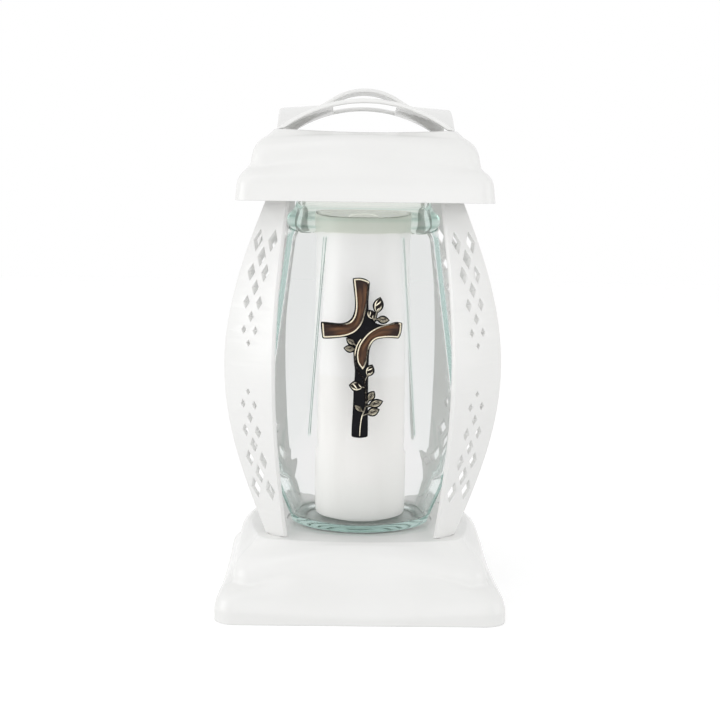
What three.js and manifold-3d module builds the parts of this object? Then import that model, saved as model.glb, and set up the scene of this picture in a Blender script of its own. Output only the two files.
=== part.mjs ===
// Grave lantern: a moulded base, four bowed openwork pillars, a six-sided glass jar, a lift-off
// roof with a vaulted handle and a steel heat shield, a glued ornamental cross and a candle insert.
// Millimetres, +Z up. The origin is the centre of the rest face, and the front looks along -Y.
import * as THREE from 'three';
import { mergeVertices } from 'three/addons/utils/BufferGeometryUtils.js';
import Module from 'manifold-3d';

const wasm = await Module();
wasm.setup();

// Clearances that every piece shares
const restGap = 0.3;
const slideGap = 0.6;
const cutOverrun = 5;

// Facets round a turned piece, and steps along the lines that a piece follows
const wideFacets = 28;
const middleFacets = 16;
const smallFacets = 8;
const sideSteps = 6;
const cornerSteps = 3;
const pillarSteps = 14;
const archSteps = 12;
const curveSteps = 4;
const vineSteps = 18;

// Base moulding
const baseWidth = 164;
const baseHeight = 43.5;
const baseWall = 2.2;
const baseCornerRadius = 12;
const jarSeatDepth = 1.6;
const jarSeatWall = 1.8;
const slotBossWall = 1.6;
const slotBossDepth = 3;
// Outline of the base from the ground to its top: [half width, height] at a corner, then in mid side,
// as shares of half the base's width and of its height
const baseTierShares = [
  [1, 0, 1, 0],
  [1, 0.16, 0.994, 0.14],
  [0.976, 0.33, 0.957, 0.33],
  [0.93, 0.42, 0.917, 0.51],
  [0.883, 0.463, 0.89, 0.68],
  [0.873, 0.62, 0.878, 0.77],
  [0.83, 0.77, 0.861, 0.885],
  [0.76, 0.905, 0.82, 0.975],
  [0.72, 1, 0.79, 1],
];

// Glass jar
const jarHeight = 199;
const jarWall = 3;
const jarFloor = 4;
const jarKneeHeight = 58;
const jarKneeRadius = 60.5;
const jarLowCornerRadius = 56;
const jarLowCornerHeight = 30;
const jarShoulderRadius = 44;
const jarFootFlat = 40.3;
const jarFootRadius = 43;
const jarFootRound = 3;
const jarNeckRadius = 39.7;
const jarBeadRadius = 45.6;
const jarBeadHeight = 180;
const jarBeadRise = 7;
const jarRimRadius = 41.2;
const jarRimRise = 3.4;
const jarSides = 6;
const adhesiveThickness = 0.8;

// Pillars
const pillarThickness = 3;
const pillarFootWidth = 15.5;
const pillarTipWidth = 14.5;
const pillarMidWidth = 40;
const pillarBow = 22.2;
const pillarFootInset = 11;
const pillarTipInset = 24.4;
const pillarTipReach = 6;
const tabWidth = 10;
const tabReach = 6;
const tabBarb = 1.2;
const tabBarbRise = 2;
const latticeRows = 8;
const latticeStartShare = 0.138;
const latticePitchShare = 0.072;
const latticeGrowthShare = 0.0015;
const diamondHeightShares = [0.037, 0.0127];
const diamondWidthShares = [0.078, 0.0155];
const diamondSpreadShares = [0.114, 0.0055];

// Roof moulding
const roofWidth = 143.6;
const roofRise = 39.8;
const roofWall = 2.2;
const roofCornerRadius = 10;
const roofDeckCornerRadius = 5;
const collarWall = 2.2;
const collarLedgeWidth = 4.6;
const collarLedgeThickness = 2;
const collarCover = 8;
const ventCount = 8;
const ventRadius = 3;
const ventCircleRadius = 35;
// Outline of the roof from its lower edge to its deck, as for the base
const roofTierShares = [
  [1, 0, 1, 0],
  [0.983, 0.27, 0.983, 0.27],
  [0.95, 0.382, 0.95, 0.42],
  [0.896, 0.465, 0.9, 0.585],
  [0.884, 0.555, 0.888, 0.65],
  [0.873, 0.665, 0.876, 0.755],
  [0.85, 0.765, 0.853, 0.85],
  [0.804, 0.855, 0.808, 0.912],
  [0.764, 0.9, 0.768, 0.935],
  [0.71, 1, 0.714, 0.967],
];

// Vaulted handle on the roof
const crownHalf = 49.5;
const crownWall = 2.3;
const frontArchRise = 17;
const sideArchRise = 13.6;
const sideArchMidRise = 17.2;
const crownWindowHalf = 18.7;
const crownRim = 7.5;
const gripRise = 24.6;
const gripRadius = 35.5;
const gripHalfSpan = 22;
const gripFootRun = 7;
const gripFootDrop = 3.8;
const gripDepth = 34;
const pegRadius = 1.2;
const pegHeadRadius = 1.9;
const pegHeadHeight = 1.2;
const pegInset = 2.6;

// Heat shield and its screws
const shieldThickness = 0.6;
const shieldGap = 0.9;
const shieldDrop = 8;
const shieldLip = 2.4;
const bossRadius = 3.2;
const bossCircleRadius = 25;
const screwRadius = 1.1;
const screwHeadRadius = 2.4;
const screwHeadHeight = 1.4;
const screwLength = 6;
const screwCount = 4;

// Candle insert
const cupRadius = 27;
const cupHeight = 176;
const cupWall = 0.9;
const cupRimFlare = 0.9;
const waxHeight = 84;
const lidThickness = 0.5;
const lidSkirt = 7;
const lidHoleRadius = 9;
const lidDish = 2;
const wickRadius = 0.9;
const wickStandOut = 9;
const sustainerRadius = 9;
const sustainerThickness = 0.6;
const sustainerNeckRadius = 1.9;
const sustainerNeckHeight = 7;

// Ornamental cross on the front pane
const crossHeight = 90.4;
const crossPadThickness = 0.5;
const crossPlateThickness = 1.9;
const crossEnamelThickness = 1;
const crossVineThickness = 1.1;
const crossVineWidth = 0.9;
const crossPadHalfWidth = 21.2;
const crossPadBarHalf = 2.6;
const crossPadArmHeight = 61;
const crossPadFillet = 8;
const crossPadInset = 2;
const crossFootRise = 0.1;
const crossSideStep = 1.3;
const leafRim = 0.8;

// Places that follow from the sizes above
const plateZ = baseHeight;
const seatZ = plateZ - jarSeatDepth;
const jarFootZ = seatZ + adhesiveThickness + 2 * restGap;
const jarRimZ = jarFootZ + jarHeight;
const jarKneeZ = jarFootZ + jarKneeHeight;
const jarBeadZ = jarFootZ + jarBeadHeight;
const jarNeckBore = jarNeckRadius - jarWall;
const ledgeZ = jarRimZ + restGap;
const roofZ = ledgeZ - collarCover;
const deckZ = roofZ + roofRise * roofTierShares.at(-1)[3];
const roofTopZ = roofZ + roofRise;
const collarRadius = jarRimRadius + slideGap;
const crownZ = roofTopZ + restGap;
const shieldZ = deckZ - roofWall - shieldDrop;
const shieldRadius = collarRadius - collarLedgeWidth - shieldGap;
const insertZ = jarFootZ + jarFloor + restGap;
const baseHalf = baseWidth / 2;
const roofHalf = roofWidth / 2;

// Colours and finishes
const finishes = {
  plastic: { color: 0xf1f1ef, roughness: 0.42, metalness: 0 },
  glass: { color: 0xdfeae6, roughness: 0.04, metalness: 0, transparent: true, opacity: 0.35 },
  adhesive: { color: 0xd8dad6, roughness: 0.5, metalness: 0 },
  steel: { color: 0xb9bbbc, roughness: 0.35, metalness: 1 },
  screw: { color: 0x9fa2a4, roughness: 0.3, metalness: 1 },
  cup: { color: 0xe9eae6, roughness: 0.35, metalness: 0 },
  wax: { color: 0xf3efe2, roughness: 0.6, metalness: 0 },
  wick: { color: 0xe8e0cc, roughness: 0.95, metalness: 0 },
  lid: { color: 0xd9d3bf, roughness: 0.3, metalness: 1 },
  darkPlate: { color: 0x1c1c24, roughness: 0.28, metalness: 0.6 },
  enamel: { color: 0x6e4630, roughness: 0.2, metalness: 0.2 },
  gold: { color: 0xd9bd8c, roughness: 0.25, metalness: 1 },
  pad: { color: 0x6d6f70, roughness: 0.9, metalness: 0 },
};

// A closed mesh as a solid that can be joined and cut
function toSolid(geometry) {
  const bare = geometry.clone();
  bare.deleteAttribute('normal');
  bare.deleteAttribute('uv');
  const merged = mergeVertices(bare);
  return new wasm.Manifold(new wasm.Mesh({
    numProp: 3,
    vertProperties: new Float32Array(merged.attributes.position.array),
    triVerts: new Uint32Array(merged.index.array),
  }));
}

// A joined or cut solid as a geometry again
function toGeometry(solid) {
  const mesh = solid.getMesh();
  const geometry = new THREE.BufferGeometry();
  geometry.setAttribute('position', new THREE.BufferAttribute(mesh.vertProperties, 3));
  geometry.setIndex(new THREE.BufferAttribute(mesh.triVerts, 1));
  geometry.computeVertexNormals();
  return geometry;
}

function join(geometries) {
  return geometries.map(toSolid).reduce((whole, piece) => whole.add(piece));
}

function cut(solid, geometries) {
  return geometries.map(toSolid).reduce((whole, piece) => whole.subtract(piece), solid);
}

// A body of revolution about Z from [radius, height] pairs
function turned(profile, segments) {
  const points = profile.map(([radius, height]) => new THREE.Vector2(radius, height));
  return new THREE.LatheGeometry(points, segments).rotateX(Math.PI / 2);
}

// A hollow ring about Z whose profile closes on itself
function turnedRing(profile, segments) {
  return turned([...profile, profile[0]], segments);
}

function disc(radius, low, high, segments) {
  return turned([[0, low], [radius, low], [radius, high], [0, high]], segments);
}

function block(low, high) {
  const size = new THREE.Vector3().subVectors(high, low);
  const centre = new THREE.Vector3().addVectors(low, high).multiplyScalar(1 / 2);
  return new THREE.BoxGeometry(size.x, size.y, size.z).translate(centre.x, centre.y, centre.z);
}

// A solid skinned over rings with the same number of points, each counterclockwise seen from the
// last one's side, with a fan over both ends
function skin(rings) {
  const count = rings[0].length;
  const positions = rings.flat().flatMap((point) => point.toArray());
  const indices = [];
  for (let ring = 0; ring < rings.length - 1; ring += 1) {
    for (let i = 0; i < count; i += 1) {
      const a = ring * count + i;
      const b = ring * count + (i + 1) % count;
      indices.push(a, b, b + count, a, b + count, a + count);
    }
  }
  const ends = [[rings[0], 0, false], [rings.at(-1), (rings.length - 1) * count, true]];
  for (const [ring, start, top] of ends) {
    const middle = new THREE.Vector3();
    ring.forEach((point) => middle.add(point));
    middle.divideScalar(count);
    const centre = positions.length / 3;
    positions.push(...middle.toArray());
    for (let i = 0; i < count; i += 1) {
      const a = start + i;
      const b = start + (i + 1) % count;
      indices.push(...(top ? [a, b, centre] : [b, a, centre]));
    }
  }
  const geometry = new THREE.BufferGeometry();
  geometry.setAttribute('position', new THREE.Float32BufferAttribute(positions, 3));
  geometry.setIndex(indices);
  return geometry;
}

// One square ring with round corners. In mid side its distance and height go over to their own values
function squareRing(corner, mid, radius) {
  const points = [];
  for (let side = 0; side < 4; side += 1) {
    const turn = side * Math.PI / 2;
    const reach = corner.half - radius;
    const add = (out, along, height) => points.push(new THREE.Vector3(
      out * Math.cos(turn) - along * Math.sin(turn),
      out * Math.sin(turn) + along * Math.cos(turn),
      height,
    ));
    for (let i = 0; i < sideSteps; i += 1) {
      const u = 2 * i / sideSteps - 1;
      const blend = 1 - u * u;
      const out = corner.half + (mid.half - corner.half) * blend;
      add(out, reach * u, corner.z + (mid.z - corner.z) * blend);
    }
    for (let i = 0; i < cornerSteps; i += 1) {
      const angle = i / cornerSteps * Math.PI / 2;
      add(reach + radius * Math.cos(angle), reach + radius * Math.sin(angle), corner.z);
    }
  }
  return points;
}

// The rings of a stepped square moulding, pulled in and down by an offset
function tierRings(shares, half, height, lowZ, radii, offset) {
  return shares.map(([cornerHalf, cornerZ, midHalf, midZ], i) => {
    const share = i / (shares.length - 1);
    const drop = i === 0 ? cutOverrun * Math.sign(offset) : offset;
    const radius = radii[0] + (radii[1] - radii[0]) * share - offset;
    return squareRing(
      { half: half * cornerHalf - offset, z: lowZ + height * cornerZ - drop },
      { half: half * midHalf - offset, z: lowZ + height * midZ - drop },
      radius,
    );
  });
}

// Radial place of a pillar's middle surface at a height, measured along the plan's diagonal
const footRadial = Math.SQRT2 * (baseHalf * baseTierShares.at(-1)[0] - pillarFootInset);
const tipRadial = Math.SQRT2 * (roofHalf - pillarTipInset);
const pillarLowZ = plateZ + restGap;
const pillarHighZ = roofZ + pillarTipReach;
const pillarHalfHeight = (pillarHighZ - pillarLowZ) / 2;

function pillarShare(z) {
  return (z - pillarLowZ) / pillarHalfHeight - 1;
}

function pillarRadial(z) {
  const share = pillarShare(z);
  return footRadial + (tipRadial - footRadial) * (share + 1) / 2
    + pillarBow * Math.cos(share * Math.PI / 2);
}

// The bowed sheet that a pillar is cut from, in the plane of radius and height, then made wide
function pillarSheet() {
  const outer = [];
  const inner = [];
  for (let i = 0; i <= pillarSteps; i += 1) {
    const z = pillarLowZ + 2 * pillarHalfHeight * i / pillarSteps;
    outer.push(new THREE.Vector2(pillarRadial(z) + pillarThickness / 2, z));
    inner.push(new THREE.Vector2(pillarRadial(z) - pillarThickness / 2, z));
  }
  const shape = new THREE.Shape([...outer, ...inner.reverse()]);
  const width = 2 * pillarMidWidth;
  const sheet = new THREE.ExtrudeGeometry(shape, { depth: width, bevelEnabled: false });
  return sheet.translate(0, 0, -width / 2).rotateX(Math.PI / 2);
}

// A shape drawn in the plane of width and height, made deep along the radius
function radialPrism(shapes) {
  const near = Math.min(footRadial, tipRadial) - cutOverrun - pillarThickness;
  const far = Math.max(footRadial, tipRadial) + pillarBow + cutOverrun + pillarThickness;
  const prism = new THREE.ExtrudeGeometry(shapes, { depth: far - near, bevelEnabled: false });
  const across = new THREE.Vector3(0, 1, 0);
  const up = new THREE.Vector3(0, 0, 1);
  const out = new THREE.Vector3(1, 0, 0);
  prism.applyMatrix4(new THREE.Matrix4().makeBasis(across, up, out));
  return prism.translate(near, 0, 0);
}

function pillarLeaf() {
  const halfWidth = (share) => {
    const endWidth = pillarFootWidth + (pillarTipWidth - pillarFootWidth) * (share + 1) / 2;
    return (endWidth + (pillarMidWidth - endWidth) * Math.cos(share * Math.PI / 2)) / 2;
  };
  const right = [];
  const left = [];
  for (let i = 0; i <= pillarSteps; i += 1) {
    const share = 2 * i / pillarSteps - 1;
    const z = pillarLowZ + pillarHalfHeight * (share + 1);
    const overrun = (i === 0 ? -cutOverrun : 0) + (i === pillarSteps ? cutOverrun : 0);
    right.push(new THREE.Vector2(halfWidth(share), z + overrun));
    left.push(new THREE.Vector2(-halfWidth(share), z + overrun));
  }
  return new THREE.Shape([...right, ...left.reverse()]);
}

// Rows of diamonds above and below the plain middle: pairs and single ones in turn
function pillarDiamonds() {
  const diamonds = [];
  for (const way of [-1, 1]) {
    for (let row = 0; row < latticeRows; row += 1) {
      const share = latticeStartShare + latticePitchShare * row + latticeGrowthShare * row * row;
      const z = pillarLowZ + pillarHalfHeight * (1 + way * share);
      const high = pillarHalfHeight * (diamondHeightShares[0] + diamondHeightShares[1] * row) / 2;
      const wide = pillarMidWidth * (diamondWidthShares[0] + diamondWidthShares[1] * row) / 2;
      const spread = pillarMidWidth * (diamondSpreadShares[0] + diamondSpreadShares[1] * row);
      const columns = row % 2 === 1 ? [-spread, spread] : [0];
      for (const column of columns) {
        diamonds.push(new THREE.Shape([
          new THREE.Vector2(column, z - high),
          new THREE.Vector2(column + wide, z),
          new THREE.Vector2(column, z + high),
          new THREE.Vector2(column - wide, z),
        ]));
      }
    }
  }
  return diamonds;
}

// The tab under a pillar's foot, with a barb that catches behind the base's plate
function pillarTab() {
  const inner = footRadial - pillarThickness / 2;
  const outer = footRadial + pillarThickness / 2;
  const barbTop = plateZ - baseWall - slotBossDepth - restGap;
  const shape = new THREE.Shape([
    new THREE.Vector2(inner, pillarLowZ + pillarThickness / 2),
    new THREE.Vector2(inner, barbTop - tabReach),
    new THREE.Vector2(outer, barbTop - tabReach),
    new THREE.Vector2(outer + tabBarb, barbTop - tabBarbRise),
    new THREE.Vector2(outer + tabBarb, barbTop),
    new THREE.Vector2(outer, barbTop),
    new THREE.Vector2(outer, pillarLowZ + pillarThickness / 2),
  ]);
  const tab = new THREE.ExtrudeGeometry(shape, { depth: tabWidth, bevelEnabled: false });
  return tab.translate(0, 0, -tabWidth / 2).rotateX(Math.PI / 2);
}

function makePillar() {
  const leaf = toSolid(pillarSheet()).intersect(toSolid(radialPrism([pillarLeaf()])));
  const openwork = cut(leaf, [radialPrism(pillarDiamonds())]);
  return toGeometry(openwork.add(toSolid(pillarTab())));
}

// Base: a hollow stepped square with a round seat for the jar and four slots for the pillars' tabs
function makeBase() {
  const radii = [baseCornerRadius, baseCornerRadius];
  const outer = skin(tierRings(baseTierShares, baseHalf, baseHeight, 0, radii, 0));
  const inner = skin(tierRings(baseTierShares, baseHalf, baseHeight, 0, radii, baseWall));
  const seatRadius = jarFootRadius + slideGap;
  const seatBack = disc(seatRadius + jarSeatWall, seatZ - baseWall, plateZ - baseWall / 2, wideFacets);
  const bosses = [];
  const slots = [];
  for (let corner = 0; corner < 4; corner += 1) {
    const turn = Math.PI / 4 + corner * Math.PI / 2;
    const halfSlot = new THREE.Vector3(pillarThickness / 2 + restGap, tabWidth / 2 + restGap, 0);
    const low = new THREE.Vector3(footRadial, 0, plateZ - baseWall - slotBossDepth);
    const high = new THREE.Vector3(footRadial, 0, plateZ - baseWall / 2);
    const wall = new THREE.Vector3(slotBossWall, slotBossWall, 0).add(halfSlot);
    bosses.push(block(low.clone().sub(wall), high.clone().add(wall)).rotateZ(turn));
    const depth = new THREE.Vector3(0, 0, cutOverrun);
    const slot = block(low.clone().sub(halfSlot).sub(depth), high.clone().add(halfSlot).add(depth));
    slots.push(slot.rotateZ(turn));
  }
  const shell = cut(toSolid(outer), [inner]);
  const fitted = [seatBack, ...bosses].map(toSolid).reduce((whole, piece) => whole.add(piece), shell);
  return toGeometry(cut(fitted, [disc(seatRadius, seatZ, plateZ + cutOverrun, wideFacets), ...slots]));
}

// The jar's body: an upper six-sided taper crossed with a lower one that is turned by half a side
function jarBody(inset, lowZ) {
  const flat = Math.cos(Math.PI / jarSides);
  const shoulderZ = jarBeadZ;
  const upperSlope = (jarKneeRadius - jarShoulderRadius) / (shoulderZ - jarKneeZ);
  const upperRadius = (z) => jarKneeRadius + (jarKneeZ - z) * upperSlope - inset / flat;
  const lowerSlope = (jarKneeRadius - jarFootFlat) / jarKneeHeight;
  const lowerRadius = (z) => (jarFootFlat + (z - jarFootZ) * lowerSlope - inset) / flat;
  const taper = (radius) => turned([
    [0, lowZ], [radius(lowZ), lowZ], [radius(shoulderZ), shoulderZ], [0, shoulderZ],
  ], jarSides);
  // The upper taper's corners lie on X and the lower one's on Y
  const upper = toSolid(taper(upperRadius).rotateZ(Math.PI / 2));
  const lower = toSolid(taper(lowerRadius));
  const round = toSolid(turned([
    [0, lowZ],
    [jarFootRadius - jarFootRound - inset, lowZ],
    [jarFootRadius - inset, lowZ + jarFootRound],
    [jarLowCornerRadius - inset, jarFootZ + jarLowCornerHeight],
    [2 * jarKneeRadius, jarKneeZ],
    [2 * jarKneeRadius, shoulderZ],
    [0, shoulderZ],
  ], wideFacets));
  return upper.intersect(lower).intersect(round);
}

function makeJar() {
  const neckLowZ = jarBeadZ - jarBeadRise;
  const neck = turned([
    [0, neckLowZ],
    [jarNeckRadius, neckLowZ],
    [jarBeadRadius, jarBeadZ - jarBeadRise / 4],
    [jarBeadRadius, jarBeadZ + jarBeadRise / 4],
    [jarNeckRadius, jarBeadZ + jarBeadRise],
    [jarNeckRadius, jarRimZ - jarRimRise],
    [jarRimRadius, jarRimZ - jarRimRise / 2],
    [jarRimRadius, jarRimZ],
    [0, jarRimZ],
  ], wideFacets);
  const bore = disc(jarNeckBore, jarBeadZ - jarBeadRise, jarRimZ + cutOverrun, wideFacets);
  const outer = jarBody(0, jarFootZ).add(toSolid(neck));
  const hollow = jarBody(jarWall, jarFootZ + jarFloor);
  return toGeometry(outer.subtract(hollow).subtract(toSolid(bore)));
}

function makeAdhesive() {
  const outer = jarFootRadius - jarFootRound - jarWall;
  const low = seatZ + restGap;
  const high = low + adhesiveThickness;
  const inner = outer - jarWall;
  return turnedRing([[inner, low], [outer, low], [outer, high], [inner, high]], wideFacets);
}

// Copies of one thing, evenly round Z
function around(count, radius, make) {
  return Array.from({ length: count }, (_, i) => {
    const turn = (i + 1 / 2) / count * 2 * Math.PI;
    return make().translate(radius, 0, 0).rotateZ(turn);
  });
}

function screwPlaces(make) {
  return around(screwCount, bossCircleRadius, make);
}

// Roof: a hollow stepped square with a collar over the jar's neck, a ledge that rests on its rim,
// bosses for the heat shield and vents in the deck
function makeRoof() {
  const radii = [roofCornerRadius, roofDeckCornerRadius];
  const outer = toSolid(skin(tierRings(roofTierShares, roofHalf, roofRise, roofZ, radii, 0)));
  const hollow = skin(tierRings(roofTierShares, roofHalf, roofRise, roofZ, radii, roofWall));
  const collarTop = deckZ - roofWall / 2;
  const collar = turnedRing([
    [collarRadius - collarLedgeWidth, ledgeZ],
    [collarRadius, ledgeZ],
    [collarRadius, roofZ + roofWall],
    [collarRadius + collarWall, roofZ + roofWall],
    [collarRadius + collarWall, collarTop],
    [collarRadius, collarTop],
    [collarRadius, ledgeZ + collarLedgeThickness],
    [collarRadius - collarLedgeWidth, ledgeZ + collarLedgeThickness],
  ], wideFacets);
  const bossLow = shieldZ + shieldThickness + restGap;
  const bosses = screwPlaces(() => disc(bossRadius, bossLow, collarTop, smallFacets));
  const pilotTop = bossLow + screwLength;
  const pilots = screwPlaces(
    () => disc(screwRadius + restGap, bossLow - cutOverrun, pilotTop, smallFacets));
  const vents = around(ventCount, ventCircleRadius,
    () => disc(ventRadius, collarTop - roofWall, roofTopZ + cutOverrun, smallFacets));
  const pegHoles = crownCorners(
    () => disc(pegRadius + restGap, deckZ - 2 * roofWall, crownZ + cutOverrun, smallFacets));
  const shell = cut(outer, [hollow]);
  const fitted = [collar, ...bosses].map(toSolid).reduce((whole, piece) => whole.add(piece), shell);
  return toGeometry(cut(fitted, [...pilots, ...vents, ...pegHoles]));
}

// One thing at each of the vault's four feet
function crownCorners(make) {
  const place = crownHalf - pegInset;
  const corners = [[1, 1], [-1, 1], [-1, -1], [1, -1]];
  return corners.map(([x, y]) => make().translate(place * x, place * y, 0));
}

// A round-backed bar along X from end to end of the vault, with its crown higher in the middle
function barrel(endRise, midRise, inset) {
  const overrun = inset > 0 ? cutOverrun : 0;
  const stations = [[-1, endRise], [0, midRise], [1, endRise]];
  return skin(stations.map(([side, rise]) => {
    const radius = (crownHalf * crownHalf + rise * rise) / (2 * rise);
    const centreZ = rise - radius;
    const arcRadius = radius - inset;
    const halfAngle = Math.acos(-centreZ / arcRadius);
    const points = [];
    for (let i = 0; i <= archSteps; i += 1) {
      const angle = halfAngle * (1 - 2 * i / archSteps);
      const across = -arcRadius * Math.sin(angle);
      const up = centreZ + arcRadius * Math.cos(angle);
      points.push(new THREE.Vector3(side * (crownHalf + overrun), across, crownZ + up));
    }
    if (inset > 0) {
      const foot = arcRadius * Math.sin(halfAngle);
      points.push(new THREE.Vector3(side * (crownHalf + overrun), foot, crownZ - cutOverrun));
      points.push(new THREE.Vector3(side * (crownHalf + overrun), -foot, crownZ - cutOverrun));
    }
    return points.reverse();
  }));
}

// The raised strip over the vault's window, as an arch with sloping feet, made deep along Y
function gripStrip() {
  const centreZ = crownZ + gripRise - gripRadius;
  const halfAngle = Math.asin(gripHalfSpan / gripRadius);
  const outerEndZ = centreZ + gripRadius * Math.cos(halfAngle);
  const innerRadius = gripRadius - crownWall;
  const footX = gripHalfSpan + gripFootRun;
  const footZ = outerEndZ - gripFootDrop;
  const start = Math.PI / 2 - halfAngle;
  const end = Math.PI / 2 + halfAngle;
  const shape = new THREE.Shape();
  shape.moveTo(footX, footZ);
  shape.absarc(0, centreZ, gripRadius, start, end, false);
  shape.lineTo(-footX, footZ);
  shape.lineTo(-footX, footZ - crownWall);
  shape.absarc(0, centreZ, innerRadius, end, start, true);
  shape.lineTo(footX, footZ - crownWall);
  const options = { depth: gripDepth, bevelEnabled: false, curveSegments: archSteps };
  const strip = new THREE.ExtrudeGeometry(shape, options);
  return strip.translate(0, 0, -gripDepth / 2).rotateX(Math.PI / 2);
}

// Handle: two crossing vaults on four feet, a window along the crown and the strip that bridges it
function makeCrown() {
  const quarter = Math.PI / 2;
  const frontBack = (inset) => barrel(frontArchRise, frontArchRise, inset).rotateZ(quarter);
  const leftRight = (inset) => barrel(sideArchRise, sideArchMidRise, inset);
  const windowY = crownHalf - crownRim;
  const windowTop = crownZ + sideArchMidRise + restGap;
  const opening = block(
    new THREE.Vector3(-crownWindowHalf, -windowY, crownZ),
    new THREE.Vector3(crownWindowHalf, windowY, windowTop),
  );
  const vault = cut(join([frontBack(0), leftRight(0)]), [opening]);
  const bridged = cut(vault.add(toSolid(gripStrip())), [frontBack(crownWall), leftRight(crownWall)]);
  const pegLow = deckZ - roofWall - restGap - pegHeadHeight;
  const pegs = crownCorners(() => turned([
    [0, pegLow],
    [pegHeadRadius, pegLow],
    [pegHeadRadius, pegLow + pegHeadHeight],
    [pegRadius, pegLow + pegHeadHeight],
    [pegRadius, crownZ + pegRadius / 2],
    [0, crownZ + pegRadius / 2],
  ], smallFacets));
  return toGeometry(pegs.map(toSolid).reduce((whole, piece) => whole.add(piece), bridged));
}

// Heat shield: a thin dished disc, screwed to the roof's bosses
function makeShield() {
  const rim = shieldRadius - shieldLip;
  const plate = turned([
    [0, shieldZ],
    [rim, shieldZ],
    [shieldRadius, shieldZ - shieldLip],
    [shieldRadius, shieldZ - shieldLip + shieldThickness],
    [rim, shieldZ + shieldThickness],
    [0, shieldZ + shieldThickness],
  ], wideFacets);
  return toGeometry(cut(toSolid(plate), screwPlaces(
    () => disc(screwRadius + restGap, shieldZ - cutOverrun, shieldZ + cutOverrun, smallFacets))));
}

function makeScrews() {
  const headTop = shieldZ - restGap;
  const tip = shieldZ + shieldThickness + screwLength - screwRadius;
  return screwPlaces(() => turned([
    [0, headTop - screwHeadHeight],
    [screwHeadRadius * 3 / 4, headTop - screwHeadHeight],
    [screwHeadRadius, headTop],
    [screwRadius, headTop],
    [screwRadius, tip - screwRadius],
    [0, tip],
  ], smallFacets));
}

// Candle insert, from its floor up
function makeCup() {
  const top = insertZ + cupHeight;
  const inner = cupRadius - cupWall;
  return turned([
    [0, insertZ],
    [cupRadius - cupWall, insertZ],
    [cupRadius, insertZ + cupWall],
    [cupRadius, top - cupRimFlare],
    [cupRadius + cupRimFlare, top],
    [inner, top],
    [inner, insertZ + cupWall],
    [0, insertZ + cupWall],
  ], wideFacets);
}

const cupFloorZ = insertZ + cupWall;
const sustainerZ = cupFloorZ + restGap;
const wickLowZ = sustainerZ + sustainerThickness + restGap;
const waxTopZ = cupFloorZ + waxHeight;

function makeSustainer() {
  const neckTop = sustainerZ + sustainerThickness + sustainerNeckHeight;
  const neckBore = wickRadius + restGap;
  const plateTop = sustainerZ + sustainerThickness;
  return turned([
    [0, sustainerZ],
    [sustainerRadius, sustainerZ],
    [sustainerRadius, plateTop],
    [sustainerNeckRadius, plateTop],
    [sustainerNeckRadius, neckTop],
    [neckBore, neckTop],
    [neckBore, plateTop],
    [0, plateTop],
  ], middleFacets);
}

function makeWick() {
  return disc(wickRadius, wickLowZ, waxTopZ + wickStandOut, smallFacets);
}

function makeWax() {
  const outer = cupRadius - cupWall - restGap;
  const plateTop = sustainerZ + sustainerThickness + restGap;
  const neckTop = sustainerZ + sustainerThickness + sustainerNeckHeight + restGap;
  const plateHole = sustainerRadius + restGap;
  const neckHole = sustainerNeckRadius + restGap;
  const wickHole = wickRadius + restGap;
  const low = cupFloorZ + restGap;
  return turnedRing([
    [plateHole, low],
    [outer, low],
    [outer, waxTopZ],
    [wickHole, waxTopZ],
    [wickHole, neckTop],
    [neckHole, neckTop],
    [neckHole, plateTop],
    [plateHole, plateTop],
  ], wideFacets);
}

function makeLid() {
  const top = insertZ + cupHeight + restGap;
  const inner = cupRadius + cupRimFlare + restGap;
  const outer = inner + lidThickness;
  const low = top - lidSkirt;
  const dishEdge = cupRadius - cupWall - slideGap;
  return turnedRing([
    [lidHoleRadius, top - lidDish],
    [dishEdge - lidDish, top - lidDish],
    [dishEdge, top],
    [inner, top],
    [inner, low],
    [outer, low],
    [outer, top + lidThickness],
    [dishEdge - lidThickness, top + lidThickness],
    [dishEdge - lidDish - lidThickness, top - lidDish + lidThickness],
    [lidHoleRadius, top - lidDish + lidThickness],
  ], wideFacets);
}

// Cross: drawn upright on the front pane's own plane, with its foot at the origin of that plane
const paneSlope = Math.cos(Math.PI / jarSides) * (jarKneeRadius - jarShoulderRadius)
  / (jarBeadZ - jarKneeZ);
const crossFootZ = jarKneeZ + crossFootRise;

function padOutline() {
  const bar = crossPadBarHalf;
  const left = -crossPadHalfWidth;
  const right = crossPadHalfWidth;
  const low = crossPadArmHeight - bar;
  const high = crossPadArmHeight + bar;
  const foot = crossPadInset;
  const top = crossHeight - crossPadInset;
  const bend = crossPadFillet;
  const shape = new THREE.Shape();
  shape.moveTo(-bar, foot);
  shape.lineTo(bar, foot);
  shape.lineTo(bar, low - bend);
  shape.quadraticCurveTo(bar, low, bar + bend, low);
  shape.lineTo(right, low);
  shape.lineTo(right, high);
  shape.lineTo(bar + bend, high);
  shape.quadraticCurveTo(bar, high, bar, high + bend);
  shape.lineTo(bar, top);
  shape.lineTo(-bar, top);
  shape.lineTo(-bar, high + bend);
  shape.quadraticCurveTo(-bar, high, -bar - bend, high);
  shape.lineTo(left, high);
  shape.lineTo(left, low);
  shape.lineTo(-bar - bend, low);
  shape.quadraticCurveTo(-bar, low, -bar, low - bend);
  return shape;
}

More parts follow.
